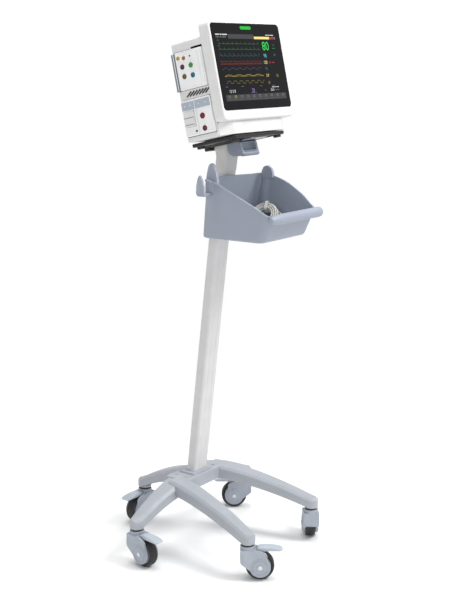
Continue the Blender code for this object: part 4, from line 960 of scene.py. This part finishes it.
# ---- screen picture --------------------------------------------------------------------------------
PICTURE = -0.00035                           # the picture lies just in front of the glass
INKS = {name: (colour, power, bmesh.new()) for name, colour, power in (
    ("green", (0.02, 0.62, 0.08), 0.95), ("deep_green", (0.03, 0.20, 0.07), 0.75), ("cyan", (0.08, 0.48, 0.60), 0.9),
    ("deep_cyan", (0.02, 0.16, 0.20), 0.8), ("red", (0.36, 0.014, 0.022), 0.75), ("deep_red", (0.17, 0.010, 0.016), 0.75),
    ("yellow", (0.85, 0.70, 0.22), 0.9), ("deep_yellow", (0.34, 0.28, 0.05), 0.75), ("olive", (0.22, 0.18, 0.03), 0.75),
    ("violet", (0.34, 0.22, 0.55), 0.8), ("deep_violet", (0.11, 0.10, 0.20), 0.75), ("white", (0.68, 0.68, 0.68), 0.85),
    ("grey", (0.16, 0.16, 0.17), 0.6), ("dim", (0.045, 0.045, 0.052), 0.6))}


def patch(ink, x0, x1, z0, z1, lift=0.0):
    """A rectangle of the picture; sizes in millimetres on the glass."""
    bm = INKS[ink][2]
    corners = [bm.verts.new((x / 1000, PICTURE - lift, z / 1000)) for x, z in ((x0, z0), (x1, z0), (x1, z1), (x0, z1))]
    bm.faces.new(corners)


def figure(ink, text, x, z, tall):
    """Numerals of the picture, x and z at their lower left."""
    curve = bpy.data.curves.new("figure", "FONT")
    curve.body, curve.size = text, tall / 1000 / 0.70
    guide = bpy.data.objects.new("figure", curve)
    bpy.context.scene.collection.objects.link(guide)
    bpy.context.view_layer.update()
    mesh = bpy.data.meshes.new_from_object(guide.evaluated_get(bpy.context.evaluated_depsgraph_get()))
    bpy.data.objects.remove(guide, do_unlink=True)
    mesh.transform(Matrix(((1, 0, 0, x / 1000), (0, 0, -1, PICTURE), (0, 1, 0, z / 1000), (0, 0, 0, 1))))
    INKS[ink][2].from_mesh(mesh)
    bpy.data.meshes.remove(mesh)


def heart_wave(t):
    """One beat: a small hump, a sharp spike and a broad hump."""
    spike = math.exp(-((t - 0.30) / 0.016) ** 2) - 0.25 * math.exp(-((t - 0.345) / 0.018) ** 2)
    return spike + 0.13 * math.exp(-((t - 0.16) / 0.035) ** 2) + 0.22 * math.exp(-((t - 0.60) / 0.060) ** 2)


def pulse_wave(t):
    return math.sin(math.pi * min(1.0, t / 0.35)) ** 1.3 + 0.35 * math.exp(-((t - 0.50) / 0.10) ** 2)


def breath_wave(t):
    return 0.5 - 0.5 * math.cos(2 * math.pi * t)


def gas_wave(t):
    return min(1.0, max(0.0, (t - 0.15) / 0.07)) * min(1.0, max(0.0, (0.72 - t) / 0.06))


def trace(ink, x0, x1, base, tall, beat, wave, thick=0.65):
    """A waveform as a thin ribbon."""
    bm = INKS[ink][2]
    count = round((x1 - x0) / 0.45)
    line = [Vector((x0 + (x1 - x0) * k / count, base + tall * wave((x0 + (x1 - x0) * k / count - x0) / beat % 1.0)))
            for k in range(count + 1)]
    rails = []
    for k, point in enumerate(line):
        way = (line[min(k + 1, count)] - line[max(k - 1, 0)]).normalized()
        side = Vector((-way.y, way.x)) * thick / 2
        rails.append([bm.verts.new((p.x / 1000, PICTURE, p.y / 1000)) for p in (point + side, point - side)])
    for (a, b), (c, d) in zip(rails, rails[1:]):
        bm.faces.new((a, b, d, c))


def label(ink, x, z, wide, tall=2.2):
    """A word of the picture, shown as short bars."""
    place = x
    for k, part in enumerate((0.30, 0.16, 0.38)):
        patch(ink, place, place + wide * part, z, z + tall)
        place += wide * (part + 0.05)


def build_screen():
    label("white", -134, 78.3, 52, 3.0)
    label("grey", -134, 72.2, 46, 2.4)
    patch("dim", -83, 28, 69.5, 81)
    patch("yellow", 30, 99, 69.2, 75.6)
    patch("red", 100, 119, 69.2, 75.6)
    patch("grey", 120, 127, 69.2, 75.6)
    label("white", 84, 79, 38, 2.0)
    for base in (56.5, 42.5):
        trace("deep_green", -130, 46, base, 7.5, 18.5, heart_wave)
        label("deep_green", -132, base + 8, 9, 1.6)
    figure("green", "80", 60, 41, 22)
    figure("deep_green", "2.0", 108, 52, 5)
    label("deep_green", 105, 45, 14, 1.6)
    trace("deep_cyan", -130, 42, 25.5, 7.0, 18.5, pulse_wave)
    figure("cyan", "98", 60, 22, 9.5)
    figure("deep_cyan", "80", 107, 26, 6)
    patch("deep_red", -134, 48, 5.0, 6.4)
    patch("deep_red", -134, 48, 12.4, 13.4)
    trace("red", -130, 46, 7.0, 4.8, 18.5, pulse_wave, 0.55)
    figure("yellow", "120", 55, 5.6, 8.0)
    figure("red", "80", 80, 6.2, 6.2)
    patch("red", 94, 104, 7.6, 10.4)
    trace("deep_violet", -130, 40, -8.5, 5.0, 30.0, breath_wave)
    figure("deep_cyan", "93", 58, -10.5, 7.5)
    trace("deep_yellow", -124, 45, -24.0, 2.6, 42.0, gas_wave, 1.3)
    trace("olive", -124, 45, -25.5, 0.6, 42.0, breath_wave, 0.8)
    figure("yellow", "5.0", 57, -27.5, 7.0)
    figure("deep_yellow", "20", 103, -28.5, 7.0)
    trace("olive", -122, 45, -42.5, 6.0, 26.0, gas_wave, 0.9)
    figure("deep_yellow", "35", 60, -46.5, 7.0)
    for x in (-129, -62, 20, 78):
        label("grey", x, -51.5, 11, 1.6)
    figure("white", "12 5 8", -117, -65.5, 7.5)
    figure("violet", "20", -19, -65.5, 9.0)
    patch("violet", -24, 0, -67.5, -67.0)
    figure("grey", "10", 38, -64.5, 5.0)
    figure("white", "36.5", 66, -64.5, 7.0)
    label("grey", 88, -63, 18, 2.0)
    label("white", 74, -55.5, 34, 1.6)
    patch("dim", -134, 134, -86.0, -70.5)
    for k in range(10):
        left = -131 + 26.6 * k
        ink = "deep_yellow" if k == 1 else "grey"
        patch(ink, left + 7.0, left + 15.5, -78.5, -72.6, 0.00006)
        patch("dim", left + 9.0, left + 13.5, -77.0, -74.2, 0.00012)
        label("grey", left + 3.0, -83.6, 18, 1.6)
    for name, (colour, power, bm) in INKS.items():
        piece("picture_" + name, bm, HEAD, display("picture_" + name, colour, power), "monitor", sharp=60)


# ---- CAD nodes that keep their own shape --------------------------------------------------------------
KEPT = {"basket_clamp": BASKET, "lcd_panel": PANEL, "main_board": BOARD, "power_supply": TIN, "battery_pack": CELL,
        "speaker": PORT, "fan_rotor": PORT, "mains_inlet": PORT}
KEPT.update({"caster_stem_" + name: RUBBER for name in CASTERS})


def dress_kept():
    for name, finish in KEPT.items():
        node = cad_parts[name]
        for k in range(max(1, len(node.material_slots))):
            if node.material_slots:
                node.material_slots[k].material = finish
            else:
                node.data.materials.append(finish)


# ---- studio ----------------------------------------------------------------------------------------
def area_light(name, place, aim, size, power):
    data = bpy.data.lights.new(name, "AREA")
    data.size, data.energy = size, power
    made = bpy.data.objects.new(name, data)
    made.location = place
    made.rotation_euler = (Vector(aim) - Vector(place)).to_track_quat("-Z", "Y").to_euler()
    bpy.context.scene.collection.objects.link(made)


def build_studio():
    world = bpy.data.worlds.new("studio")
    bpy.context.scene.world = world
    world.use_nodes = True
    nodes, links = world.node_tree.nodes, world.node_tree.links
    back = nodes["Background"]
    back.inputs["Color"].default_value = (1.0, 1.0, 1.0, 1.0)
    ray = nodes.new("ShaderNodeLightPath")
    level = nodes.new("ShaderNodeMapRange")
    level.inputs["To Min"].default_value, level.inputs["To Max"].default_value = 0.58, 1.0
    links.new(ray.outputs["Is Camera Ray"], level.inputs["Value"])
    links.new(level.outputs["Result"], back.inputs["Strength"])
    bpy.context.scene.view_settings.view_transform = "Standard"
    area_light("key", (1.0, -2.2, 3.5), (0.0, 0.0, 0.8), 1.4, 88.0)
    area_light("top", (0.2, 0.4, 3.2), (0.0, 0.0, 0.6), 2.2, 52.0)
    area_light("fill", (-2.4, -1.8, 1.3), (0.0, 0.0, 0.9), 2.0, 15.0)
    area_light("low", (0.9, -2.4, 0.5), (0.0, 0.0, 0.9), 1.4, 7.0)

    floor = bmesh.new()
    bmesh.ops.create_grid(floor, x_segments=8, y_segments=8, size=4.0)
    mesh = bpy.data.meshes.new("studio_floor")
    floor.to_mesh(mesh)
    floor.free()
    made = bpy.data.objects.new("studio_floor", mesh)
    bpy.context.scene.collection.objects.link(made)
    finish, nodes, links, shader = new_material("studio_floor")
    links.new(ramp(nodes, links, noise(nodes, links, 3.0), (0.93, 0.93, 0.93), (0.95, 0.95, 0.95)),
              shader.inputs["Base Color"])
    shader.inputs["Roughness"].default_value = 0.6
    shader.inputs["Specular IOR Level"].default_value = 0.1
    place = nodes.new("ShaderNodeTexCoord")
    distance = nodes.new("ShaderNodeVectorMath")
    distance.operation = "LENGTH"
    links.new(place.outputs["Object"], distance.inputs[0])
    fade = nodes.new("ShaderNodeMapRange")
    fade.interpolation_type = "SMOOTHSTEP"
    fade.inputs["From Min"].default_value, fade.inputs["From Max"].default_value = 0.45, 1.05
    links.new(distance.outputs["Value"], fade.inputs["Value"])
    glow = nodes.new("ShaderNodeEmission")
    glow.inputs["Color"].default_value = (1.0, 1.0, 1.0, 1.0)
    blend = nodes.new("ShaderNodeMixShader")
    links.new(fade.outputs["Result"], blend.inputs["Fac"])
    links.new(shader.outputs["BSDF"], blend.inputs[1])
    links.new(glow.outputs["Emission"], blend.inputs[2])
    links.new(blend.outputs["Shader"], nodes["Material Output"].inputs["Surface"])
    mesh.materials.append(finish)


build_base()
build_mast()
build_dock()
build_casters()
build_basket()
build_front()
build_case()
build_modules()
build_screen()
dress_kept()
build_studio()
